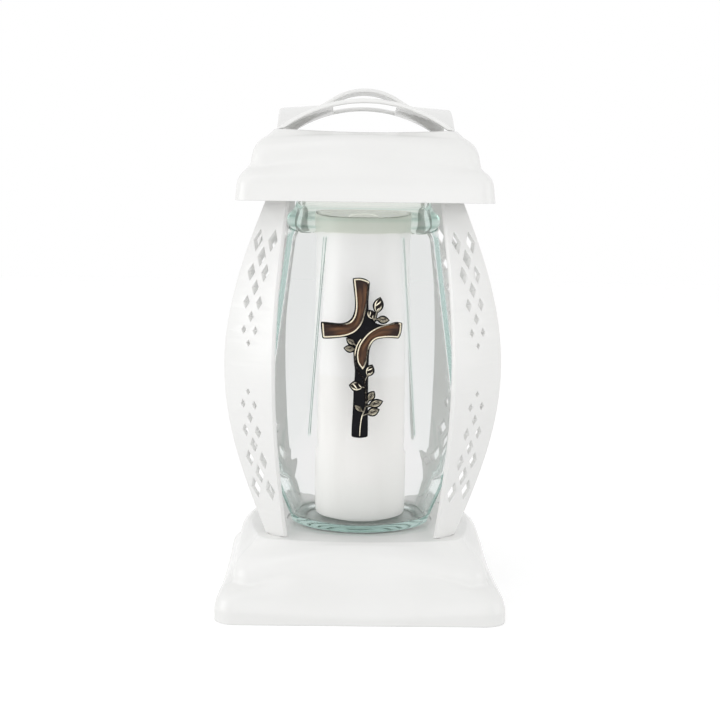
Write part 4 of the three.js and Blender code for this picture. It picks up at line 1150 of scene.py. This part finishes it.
def make_grip():
    """The raised strip over the window."""
    centre_z = CROWN_LOW_Z + GRIP_RISE - GRIP_RADIUS
    half_angle = math.asin(GRIP_HALF_SPAN / GRIP_RADIUS)
    arc = [(GRIP_RADIUS * math.sin(a), centre_z + GRIP_RADIUS * math.cos(a))
           for a in np.linspace(half_angle, -half_angle, 37)]
    foot = np.array([GRIP_HALF_SPAN + GRIP_FOOT_RUN, arc[0][1] - GRIP_FOOT_DROP])
    feet = [tuple(foot + (np.array(arc[0]) - foot) * t) for t in (0, 0.25, 0.5, 0.75)]
    line = eased(np.array([*feet, *arc, *[(-x, z) for x, z in reversed(feet)]]), 4)
    along = np.gradient(line, axis=0)
    normal = np.stack([along[:, 1], -along[:, 0]], axis=1)
    normal /= np.linalg.norm(normal, axis=1, keepdims=True)
    section = []
    for quarter, (side, lift) in enumerate(((1, 1), (-1, 1), (-1, -1), (1, -1))):
        for angle in np.radians(90 * quarter + 90 * np.arange(5) / 4):
            section.append((side * (GRIP_DEPTH / 2 - RIM_ROUND) + RIM_ROUND * math.cos(angle),
                            lift * (CROWN_WALL / 2 - RIM_ROUND) + RIM_ROUND * math.sin(angle)))
    rings = []
    for place, out in zip(line, normal):
        x, z = place - out * CROWN_WALL / 2
        rings.append(np.array([(x + out[0] * lift, side, z + out[1] * lift) for side, lift in section]))
    return make_object("grip", *skin(rings), PLASTIC, 50)


def make_crown():
    vault, grip = make_vault(), make_grip()
    for piece in (vault, grip):
        weld(piece)
    combine(vault, [grip], "UNION", 50)
    head_low = ROOF_HIGH[2] - ROOF_MID_DROP - WALL - 1.5
    top = CROWN_LOW_Z + 0.6
    place = MM * (CROWN_HALF - PEG_INSET)
    profile = rounded_profile([
        (0, head_low), (PEG_HEAD_RADIUS, head_low), (PEG_HEAD_RADIUS, head_low + 1.2),
        (PEG_RADIUS, head_low + 1.2), (PEG_RADIUS, top), (0, top)], (0.4, 0.4, 0.1, 0.1))
    pegs = []
    for x, y in ((1, 1), (-1, 1), (-1, -1), (1, -1)):
        peg = lathe("peg", profile, 24, PLASTIC)
        peg.data.transform(Matrix.Translation((place * x, place * y, 0)))
        pegs.append(peg)
    return merged("vault_handle", [vault, *pegs], PLASTIC, sharp=50)


# Heat shield and screws

def make_shield():
    """A pressed disc with a turned-down edge and one round groove."""
    low, high = SHIELD_LOW[2], SHIELD_HIGH[2]
    radius = SHIELD_HIGH[0]
    sheet, depth = 0.6, 0.25
    groove = [(share * radius, drop) for share, drop in ((0.3, 0), (0.34, depth), (0.5, depth), (0.54, 0))]
    under = [(0, high - sheet), *[(r, high - sheet - drop) for r, drop in groove],
             (radius - 2.6, high - sheet), (radius, low)]
    top = [(0, high), *[(r, high - drop) for r, drop in groove], (radius - 2.4, high),
           (radius - 0.1, low + sheet + 0.2), (radius, low + sheet)]
    shield = lathe("shield_disc", [*under, *reversed(top)], 96, STEEL)
    holes = around(SCREW_COUNT, BOSS_CIRCLE_RADIUS, lambda: plug(PILOT_RADIUS, low - 3, high + 3, 24))
    combine(shield, holes, "DIFFERENCE")
    return shield


def make_screw(node):
    """A pan-headed screw with turned grooves for its thread and a cross slot."""
    low, high = node_box(node)
    head_radius = (high[0] - low[0]) / 2
    head_low, tip = low[2], high[2]
    thread_radius, pitch = 1.1, 0.6
    slot_length, slot_width, slot_depth = 1.4, 0.28, 0.7
    head = rounded_profile([
        (0, head_low), (head_radius * 0.7, head_low), (head_radius, head_low + 0.9),
        (head_radius, head_low + 1.4), (thread_radius, head_low + 1.4)], (0.8, 0.5, 0.1))
    thread = []
    z = head_low + 1.6
    while z < tip - 1.4:
        thread += [(thread_radius, z), (0.8 * thread_radius, z + pitch / 2)]
        z += pitch
    screw = lathe(node + "_fine", [*head, *thread, (1.0, tip - 1.1), (0, tip)], 24, SCREW, 30)
    for x, y in ((slot_length, slot_width), (slot_width, slot_length)):
        combine(screw, [block((-x, -y, head_low - 1), (x, y, head_low + slot_depth))], "DIFFERENCE", 30)
    centre = MM * (low + high) / 2
    screw.data.transform(Matrix.Translation((centre[0], centre[1], 0)))
    return screw


# Candle insert and adhesive

def make_cup():
    inner, lip_radius = CUP_RADIUS - CUP_WALL, CUP_RADIUS + CUP_FLARE
    low, top = CUP_LOW[2], CUP_HIGH[2]
    cup = lathe("cup_shell", rounded_profile([
        (0, low + 0.8), (inner - 6, low + 0.8), (inner - 4, low), (CUP_RADIUS - 0.3, low),
        (CUP_RADIUS, low + 4), (CUP_RADIUS, top - 2.2), (lip_radius, top - 0.8), (lip_radius, top),
        (inner, top), (inner, low + 3), (inner - 2, low + CUP_WALL), (0, low + CUP_WALL + 0.5),
    ], (1, 1, 1, 1.2, 1, 1, 0.4, 0.4, 0.4, 1.5, 1)), 96, CUP)
    x, y, z = places_of(cup).T
    outside = np.hypot(x, y) > CUP_RADIUS - CUP_WALL / 2
    # Painted glow: weak low on the cup's outside, growing towards its top, and strongest on its inside
    store(cup, "painted_glow", np.where(outside, 0.3 + ((z - low) / (top - low)) ** 2, 3))
    return cup


def make_wax():
    """The wax, with a small dish round the wick and a raised edge at the wall."""
    outer = CUP_RADIUS - CUP_WALL - WAX_GAP
    low, top = WAX_LOW[2], WAX_HIGH[2]
    hole = 1.2
    profile = [(hole, low + 9), (10, low + 2), (outer - 2, low + 2.6), (outer, low + 5), (outer, top - 0.3)]
    for share in np.linspace(0.02, 1, 14):
        rise = 1.4 * (1 - smooth_step(share, 0, 0.12)) + smooth_step(share, 0.85, 1)
        profile.append((outer + (hole - outer) * share, top - 1.6 + float(rise)))
    return lathe("wax_fill", profile, 96, WAX)


def make_wick():
    """A braided wick: a slim column with a spiral rib."""
    angles = np.arange(18) * 2 * math.pi / 18
    rings = []
    for z in np.arange(WICK_LOW[2], WICK_HIGH[2], 0.5):
        radii = WICK_RADIUS + WICK_RIB * np.abs(np.sin(2 * (angles - z * WICK_TWIST)))
        rings.append(circle(angles, radii, z))
    end = rings[-1] * (0.5, 0.5, 0) + (0, 0, WICK_HIGH[2])
    return make_object("braided_wick", *skin([*rings, end]), WICK)


def make_sustainer():
    low, high = node_box("wick_sustainer")
    radius, bore, disc_z = high[0], 1.25, low[2] + 0.6
    profile = rounded_profile([
        (0, low[2]), (radius, low[2]), (radius, disc_z), (3.2, disc_z), (1.9, disc_z + 1), (1.8, high[2]),
        (bore, high[2]), (bore, disc_z), (0, disc_z)], (0.2, 0.2, 0.6, 0.5, 0.2, 0.2, 0.1))
    return lathe("sustainer_disc", profile, 48, STEEL)


def make_lid():
    """A pressed lid with a dished middle, a flame hole and a skirt over the cup."""
    low, top = LID_LOW[2], LID_HIGH[2]
    outer, inner = LID_HIGH[0], LID_HIGH[0] - LID_SHEET
    edge = CUP_RADIUS - CUP_WALL - 0.6
    dish_z = top - LID_DISH
    lid = lathe("tin_lid", rounded_profile([
        (LID_HOLE_RADIUS, dish_z - LID_SHEET), (edge - 2, dish_z - LID_SHEET),
        (edge - 0.4, top - LID_SHEET), (inner, top - LID_SHEET), (inner, low + 0.6), (inner, low),
        (outer, low), (outer, top), (edge, top),
        (edge - 2, dish_z), (LID_HOLE_RADIUS, dish_z),
    ], (0.6, 0.6, 0.3, 0.1, 0.1, 0.2, 0.5, 0.6, 0.6, 0.2)), 96, LID)
    x, y, z = places_of(lid).T
    # Painted glow on the lid's top inside its skirt, which lifts the roof's shade there
    store(lid, "painted_glow", (np.hypot(x, y) < inner) & (z > dish_z - LID_SHEET))
    return lid


def make_adhesive():
    low, high = node_box("jar_adhesive")
    outer, inner = high[0], high[0] - JAR_WALL
    middle = (low[2] + high[2]) / 2
    profile = [(inner + 0.3, low[2]), (outer - 0.3, low[2]), (outer, middle), (outer - 0.3, high[2]),
               (inner + 0.3, high[2]), (inner, middle)]
    return lathe("adhesive_bead", profile, 96, ADHESIVE)


# Cross

def pane_matrix():
    """The front pane's own plane: across, up and out of the glass, with the cross's foot at its origin."""
    slope = JAR_FLAT * (JAR_KNEE_RADIUS - JAR_SHOULDER_RADIUS) / (BEAD_HEIGHT - KNEE_HEIGHT)
    lean = math.atan(slope)
    distance = JAR_KNEE_RADIUS * JAR_FLAT - CROSS_FOOT_RISE * slope
    return Matrix((
        (1, 0, 0, -CROSS_SIDE_STEP * MM),
        (0, math.sin(lean), -math.cos(lean), -distance * MM),
        (0, math.cos(lean), math.sin(lean), (KNEE_Z + CROSS_FOOT_RISE) * MM),
        (0, 0, 0, 1),
    ))


def edged_loop(edge_shares):
    """A closed outline as points in millimetres, smooth along each edge."""
    line = []
    for edge in edge_shares:
        points = np.array(edge) * CROSS_HEIGHT
        if len(points) > 2:
            part = smooth_line(points, 6)
        else:
            part = points[0] + (points[1] - points[0]) * np.linspace(0, 1, 9)[:, None]
        line.extend(part[:-1])
    return np.array(line)


def eased_loop(loop, rounds):
    for _ in range(rounds):
        loop = loop / 2 + (np.roll(loop, 1, axis=0) + np.roll(loop, -1, axis=0)) / 4
    return loop


def outward(loop):
    """Outward directions at the points of a closed outline."""
    following = np.roll(loop, -1, axis=0)
    along = following - np.roll(loop, 1, axis=0)
    out = np.stack([along[:, 1], -along[:, 0]], axis=1)
    out /= np.linalg.norm(out, axis=1, keepdims=True)
    area = np.sum(loop[:, 0] * following[:, 1] - following[:, 0] * loop[:, 1])
    return out * np.sign(area)


def turned_points(points, across, up, degrees):
    """Points turned about the origin and set at a place given in shares of the cross's height."""
    turn = math.radians(degrees)
    return [(across * CROSS_HEIGHT + x * math.cos(turn) - y * math.sin(turn),
             up * CROSS_HEIGHT + x * math.sin(turn) + y * math.cos(turn)) for x, y in points]


def leaf_loop(leaf):
    """A leaf's outline with the rim of its foot."""
    across, up, length, width, _, degrees, _ = leaf
    half = length * CROSS_HEIGHT / 2 + LEAF_RIM
    bulge = width * CROSS_HEIGHT / 2 + LEAF_RIM
    under, over = ([(-half + 2 * half * t, way * 4 * bulge * t * (1 - t)) for t in np.linspace(0, 1, 12)]
                   for way in (-1, 1))
    return turned_points([*under, *reversed(over[1:-1])], across, up, degrees)


def stalk_loop(leaf, half, rim):
    """A stalk's outline from inside its leaf to its outer end, with half its width."""
    across, up, length, _, stalk, degrees, _ = leaf
    inner = -length * CROSS_HEIGHT / 4
    outer = -(length / 2 + stalk) * CROSS_HEIGHT - rim
    corners = [(outer, -half), (inner, -half), (inner, half), (outer, half)]
    return turned_points(corners, across, up, degrees)


def make_casting():
    """The dark cast plate: the cross itself and a foot under each leaf and bud."""
    outlines = [(eased_loop(edged_loop(PLATE_EDGE_SHARES), 2), PLATE_ROUND, 4)]
    for leaf in (*VINE_LEAF_SHARES, *SPRAY_LEAF_SHARES):
        outlines.append((leaf_loop(leaf), LEAF_ROUND, 3))
        outlines.append((stalk_loop(leaf, VINE_RADIUS + LEAF_RIM / 2, LEAF_RIM), STALK_ROUND, 3))
    shells = [filled_solid("shell", [loop], PLATE_LOW, PLATE_THICKNESS, edge, DARK, steps)
              for loop, edge, steps in outlines]
    return merged("cross_casting", shells, DARK)


def grid_faces(rows, columns):
    """Faces of a closed block whose top and bottom are grids with the same places."""
    count = rows * columns
    faces = []
    for i in range(rows - 1):
        for j in range(columns - 1):
            a = i * columns + j
            faces.append((a, a + columns, a + columns + 1, a + 1))
            faces.append((count + a, count + a + 1, count + a + columns + 1, count + a + columns))
    border = [*range(columns - 1), *range(columns - 1, count - 1, columns),
              *range(count - 1, count - columns, -1), *range(count - columns, 0, -columns)]
    for a, b in zip(border, [*border[1:], border[0]]):
        faces.append((a, b, count + b, count + a))
    return faces


def painted_side_light(out):
    """A painted highlight on a raised edge: brighter where it faces left or down."""
    return np.clip(0.1 + 0.75 * np.maximum(-out[..., 0], -out[..., 1]), 0, 0.85)


def relief(name, leaf):
    """One leaf or bud in relief, with a gilt rim painted brighter where it faces left or down, and a dark
    vein or swirl.
    """
    across, up, length, width, _, degrees, bud = leaf
    half, bulge = length * CROSS_HEIGHT / 2, width * CROSS_HEIGHT / 2
    along, over = np.linspace(-0.96, 0.96, 25), np.linspace(-1, 1, 19)
    places, heights, gilt_and_painted_light = [], [], []
    for s in along:
        for t in over:
            places.append((s * half, t * bulge * (1 - s * s)))
            facing = turned_points([(s, math.copysign(0.6, t))], 0, 0, degrees)
            # Painted highlight: the rim is brighter on the side that faces left or down
            left = float(painted_side_light(np.array(facing[0]) / math.hypot(s, 0.6)))
            rim = math.exp(-((abs(t) - 0.8) / 0.17) ** 2)
            if bud:
                swirl = math.sin(6.5 * s + 4.2 * t) * (1 - t * t)
                height = 0.5 + 0.45 * math.sqrt(max(0, 1 - 0.7 * t * t - 0.3 * s * s)) + 0.3 * swirl
                shine = max(0.8 * max(0, swirl) ** 2, rim * (0.15 + 0.75 * left))
            else:
                vein = math.exp(-(t / 0.16) ** 2) * (s < 0.5)
                height = 0.4 + 0.45 * rim + 0.3 * vein + 0.15 * s
                shine = max(rim * (0.4 + 0.7 * left), 0.27 - 0.15 * vein)
            heights.append(RELIEF_EDGE_RISE if abs(t) == 1 else height)
            gilt_and_painted_light.append(shine)
    flat = turned_points(places, across, up, degrees)
    vertices = [(x, y, TRIM_LOW + height) for (x, y), height in zip(flat, heights)]
    vertices += [(x, y, TRIM_LOW) for x, y in flat]
    obj = make_object(name, vertices, grid_faces(len(along), len(over)), GILT, 60)
    store(obj, "gilt_and_painted_light", [*gilt_and_painted_light, *[0] * len(gilt_and_painted_light)])
    return obj


def tube(name, points, radii, material, sides, closed=False, shine=1):
    """A round bar along a line in the pane's plane. Its radius, and its gilding with its painted highlight,
    may change on the way.
    """
    points = np.array(points, float)
    count = len(points)
    radii = np.broadcast_to(radii, count)
    angles = np.arange(sides) * 2 * math.pi / sides
    rings = []
    for i, place in enumerate(points):
        before = points[i - 1] if closed or i else points[0]
        after = points[(i + 1) % count] if closed or i < count - 1 else points[-1]
        ahead = (after - before) / np.linalg.norm(after - before)
        side = np.cross((0, 0, 1), ahead)
        side /= np.linalg.norm(side)
        up = np.cross(ahead, side)
        rings.append(place + radii[i] * (np.outer(np.cos(angles), side) + np.outer(np.sin(angles), up)))
    shines = np.broadcast_to(shine, count)
    gilt_and_painted_light = np.repeat(shines, sides)
    if not closed:
        gilt_and_painted_light = np.append(gilt_and_painted_light, (shines[0], shines[-1]))
    obj = make_object(name, *skin(rings, not closed, closed), material, 60)
    store(obj, "gilt_and_painted_light", gilt_and_painted_light)
    return obj


def run_along(points):
    """How far along a line each of its points lies."""
    return np.concatenate([[0], np.cumsum(np.linalg.norm(np.diff(points, axis=0), axis=1))])


def evenly(points, count):
    """Points at even steps along a line."""
    run = run_along(points)
    wanted = np.linspace(0, run[-1], count)
    return np.stack([np.interp(wanted, run, points[:, k]) for k in range(points.shape[1])], axis=1)


def enamel_fill(side, other):
    """The enamel between a band's two long sides, crowned a little, with places along and across and a
    painted_rim_shade value that falls towards the rim. Its gilt_and_painted_light attribute stays at zero."""
    rows, columns = 56, 13
    first, second = evenly(side, rows), evenly(other, rows)
    run = run_along((first + second) / 2)
    vertices, values = [], []
    for i in range(rows):
        for u in np.linspace(-1, 1, columns):
            x, y = first[i] * (1 - u) / 2 + second[i] * (1 + u) / 2
            crown = (1 - u * u) * min(1, 6 * min(i, rows - 1 - i) / rows)
            vertices.append((x, y, TRIM_LOW + ENAMEL_RISE + ENAMEL_CROWN * crown))
            # The first value falls to the rim, where the material paints shade
            values.append((crown ** 0.5, 2.2 * u, run[i] / 7, 0))
    vertices += [(x, y, TRIM_LOW) for x, y, _ in vertices]
    fill = make_object("fill", vertices, grid_faces(rows, columns), None, 60)
    for name, layer in zip(("painted_rim_shade", "band_across", "band_along", "gilt_and_painted_light"), np.array(values * 2).T):
        store(fill, name, layer)
    return fill


def make_band(name, edge_shares, long_edges):
    """An enamelled band with its gilt rim, painted brighter where it faces left or down. Its two long edges
    are named by their numbers.
    """
    outline = eased_loop(edged_loop(edge_shares), 1)
    out = outward(outline)
    line = outline - out * RIM_RADIUS
    shine = painted_side_light(out)
    # Painted highlight along the band's top edge, and a dimmer painted light at its right end
    shine[line[:, 1] > 0.97 * CROSS_HEIGHT] = 0.8
    shine[line[:, 0] > 0.235 * CROSS_HEIGHT] = 0.5
    points = [(x, y, TRIM_LOW + RIM_RADIUS) for x, y in line]
    rim = tube("rim", points, RIM_RADIUS, RIM, 8, closed=True, shine=shine)
    starts = np.cumsum([0, *[len(edged_loop([edge])) for edge in edge_shares]])
    looped = np.vstack([line, line[:1]])
    side, other = (looped[starts[k]:starts[k + 1] + 1] for k in long_edges)
    return merged(name, [enamel_fill(side, other[::-1]), rim], ENAMEL, RIM, sharp=50)


def leaf_pieces(leaf_shares):
    """The leaves and buds in relief, each with its stalk."""
    pieces = []
    for k, leaf in enumerate(leaf_shares):
        pieces.append(relief(f"leaf_{k}", leaf))
        start, end = np.array(stalk_loop(leaf, 0, 0)[:2])
        line = [(*(start + (end - start) * t), TRIM_LOW + STALK_RISE) for t in np.linspace(0, 1, 5)]
        pieces.append(tube("stalk", line, STALK_RADIUS, GILT, 8, shine=0.3))
    return pieces


def make_vine():
    line = smooth_line(np.array(VINE_SHARES) * CROSS_HEIGHT, 6)
    points = [(x, y, TRIM_LOW + VINE_RISE) for x, y in line]
    share, radii, gilt_and_painted_light = np.array(VINE_WEAR).T
    way = np.linspace(0, 1, len(points))
    stem = tube("stem", points, np.interp(way, share, radii), GILT, 10, shine=np.interp(way, share, gilt_and_painted_light))
    return merged("gilt_vine", [stem, *leaf_pieces(VINE_LEAF_SHARES)], GILT, sharp=60)


def make_spray():
    return merged("gilt_spray", leaf_pieces(SPRAY_LEAF_SHARES), GILT, sharp=60)


# Assembly: each piece rides on its body and stands for its node

def place(obj, body, slot, *nodes):
    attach(obj, body)
    if nodes:
        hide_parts(*nodes)


place(make_base(), "root", "white_plastic", "base_shell")
for pillar_name, pillar_turn in zip(PILLARS, CORNER_TURNS):
    place(make_pillar(pillar_name, pillar_turn), "root", "white_plastic", pillar_name)
place(make_adhesive(), "root", "adhesive", "jar_adhesive")
place(make_jar(), "root", "jar_glass", "glass_jar")
place(make_roof(), "roof", "white_plastic", "roof_shell")
place(make_crown(), "roof", "white_plastic", "crown_handle")
place(make_shield(), "roof", "shield_steel", "heat_shield")
for number in range(1, SCREW_COUNT + 1):
    place(make_screw(f"shield_screw_{number}"), "roof", "screw_steel", f"shield_screw_{number}")
place(make_cup(), "insert", "cup_plastic", "insert_cup")
place(make_wax(), "insert", "wax", "insert_wax")
place(make_wick(), "insert", "wick", "insert_wick")
place(make_sustainer(), "insert", "shield_steel", "wick_sustainer")
place(make_lid(), "insert", "lid_metal", "insert_lid")

ornaments = (
    (make_casting(), "cross_dark", "cross_plate"),
    (make_band("band_upper_left", UPPER_BAND_SHARES, (1, 3)), "cross_enamel", "enamel_upper_left"),
    (make_band("band_lower_right", LOWER_BAND_SHARES, (0, 1)), "cross_enamel", "enamel_lower_right"),
    (make_vine(), "cross_gold", "rose_vine"),
    (make_spray(), "cross_gold", "rose_spray"),
)
for ornament, ornament_slot, ornament_node in ornaments:
    ornament.data.transform(pane_matrix())
    place(ornament, "root", ornament_slot, ornament_node)

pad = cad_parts["cross_pad"]
pad.data.materials.clear()
pad.data.materials.append(FOAM)


# Floor, light and camera

def make_floor():
    material, tree, shader = painted("pale_floor")
    lift = tree.math("MULTIPLY", tree.white_to_the_lens(), FLOOR_LIFT)
    tree.fill(shader, Base_Color=(0.8, 0.8, 0.8, 1), Roughness=0.9, Emission_Color=(1, 1, 1, 1),
              Emission_Strength=lift)
    corners = [(x * FLOOR_HALF, y * FLOOR_HALF, 0) for x, y in ((-1, -1), (1, -1), (1, 1), (-1, 1))]
    floor = make_object("floor", corners, [(0, 1, 2, 3)], material)


def make_world():
    world = bpy.data.worlds.new("studio")
    bpy.context.scene.world = world
    tree = Tree(world)
    strength = tree.spread(tree.white_to_the_lens(), ROOM_LIGHT, 1)
    tree.fill(tree.nodes["Background"], Color=(1, 1, 1, 1), Strength=strength)


def toward(spot, target):
    """The turn that points a lamp or a camera at its target."""
    return (Vector(target) - Vector(spot)).to_track_quat("-Z", "Y")


def soft_light(name, spot, size, power):
    lamp = bpy.data.lights.new(name, "AREA")
    lamp.shape = "RECTANGLE"
    lamp.size, lamp.size_y = size
    lamp.energy = power
    obj = link(name, lamp)
    obj.location = spot
    obj.rotation_euler = toward(spot, LAMP_AIM).to_euler()


def make_camera():
    data = bpy.data.cameras.new("camera")
    data.lens = CAMERA_LENS
    camera = link("camera", data)
    spot = Vector(CAMERA_PLACE) * MM
    look = toward(spot, Vector(CAMERA_TARGET) * MM).to_matrix().to_4x4()
    roll = Matrix.Rotation(math.radians(CAMERA_ROLL), 4, "Z")
    camera.matrix_world = Matrix.Translation(spot) @ look @ roll
    bpy.context.scene.camera = camera


make_floor()
make_world()
for lamp_name, (lamp_place, lamp_size, lamp_power) in LAMPS.items():
    soft_light(lamp_name, lamp_place, lamp_size, lamp_power)
make_camera()
bpy.context.scene.view_settings.view_transform = "Standard"
# Light runs a long way inside the jar's walls, so it may turn often
for limit in ("max_bounces", "glossy_bounces", "transmission_bounces"):
    setattr(bpy.context.scene.cycles, limit, LIGHT_TURNS)
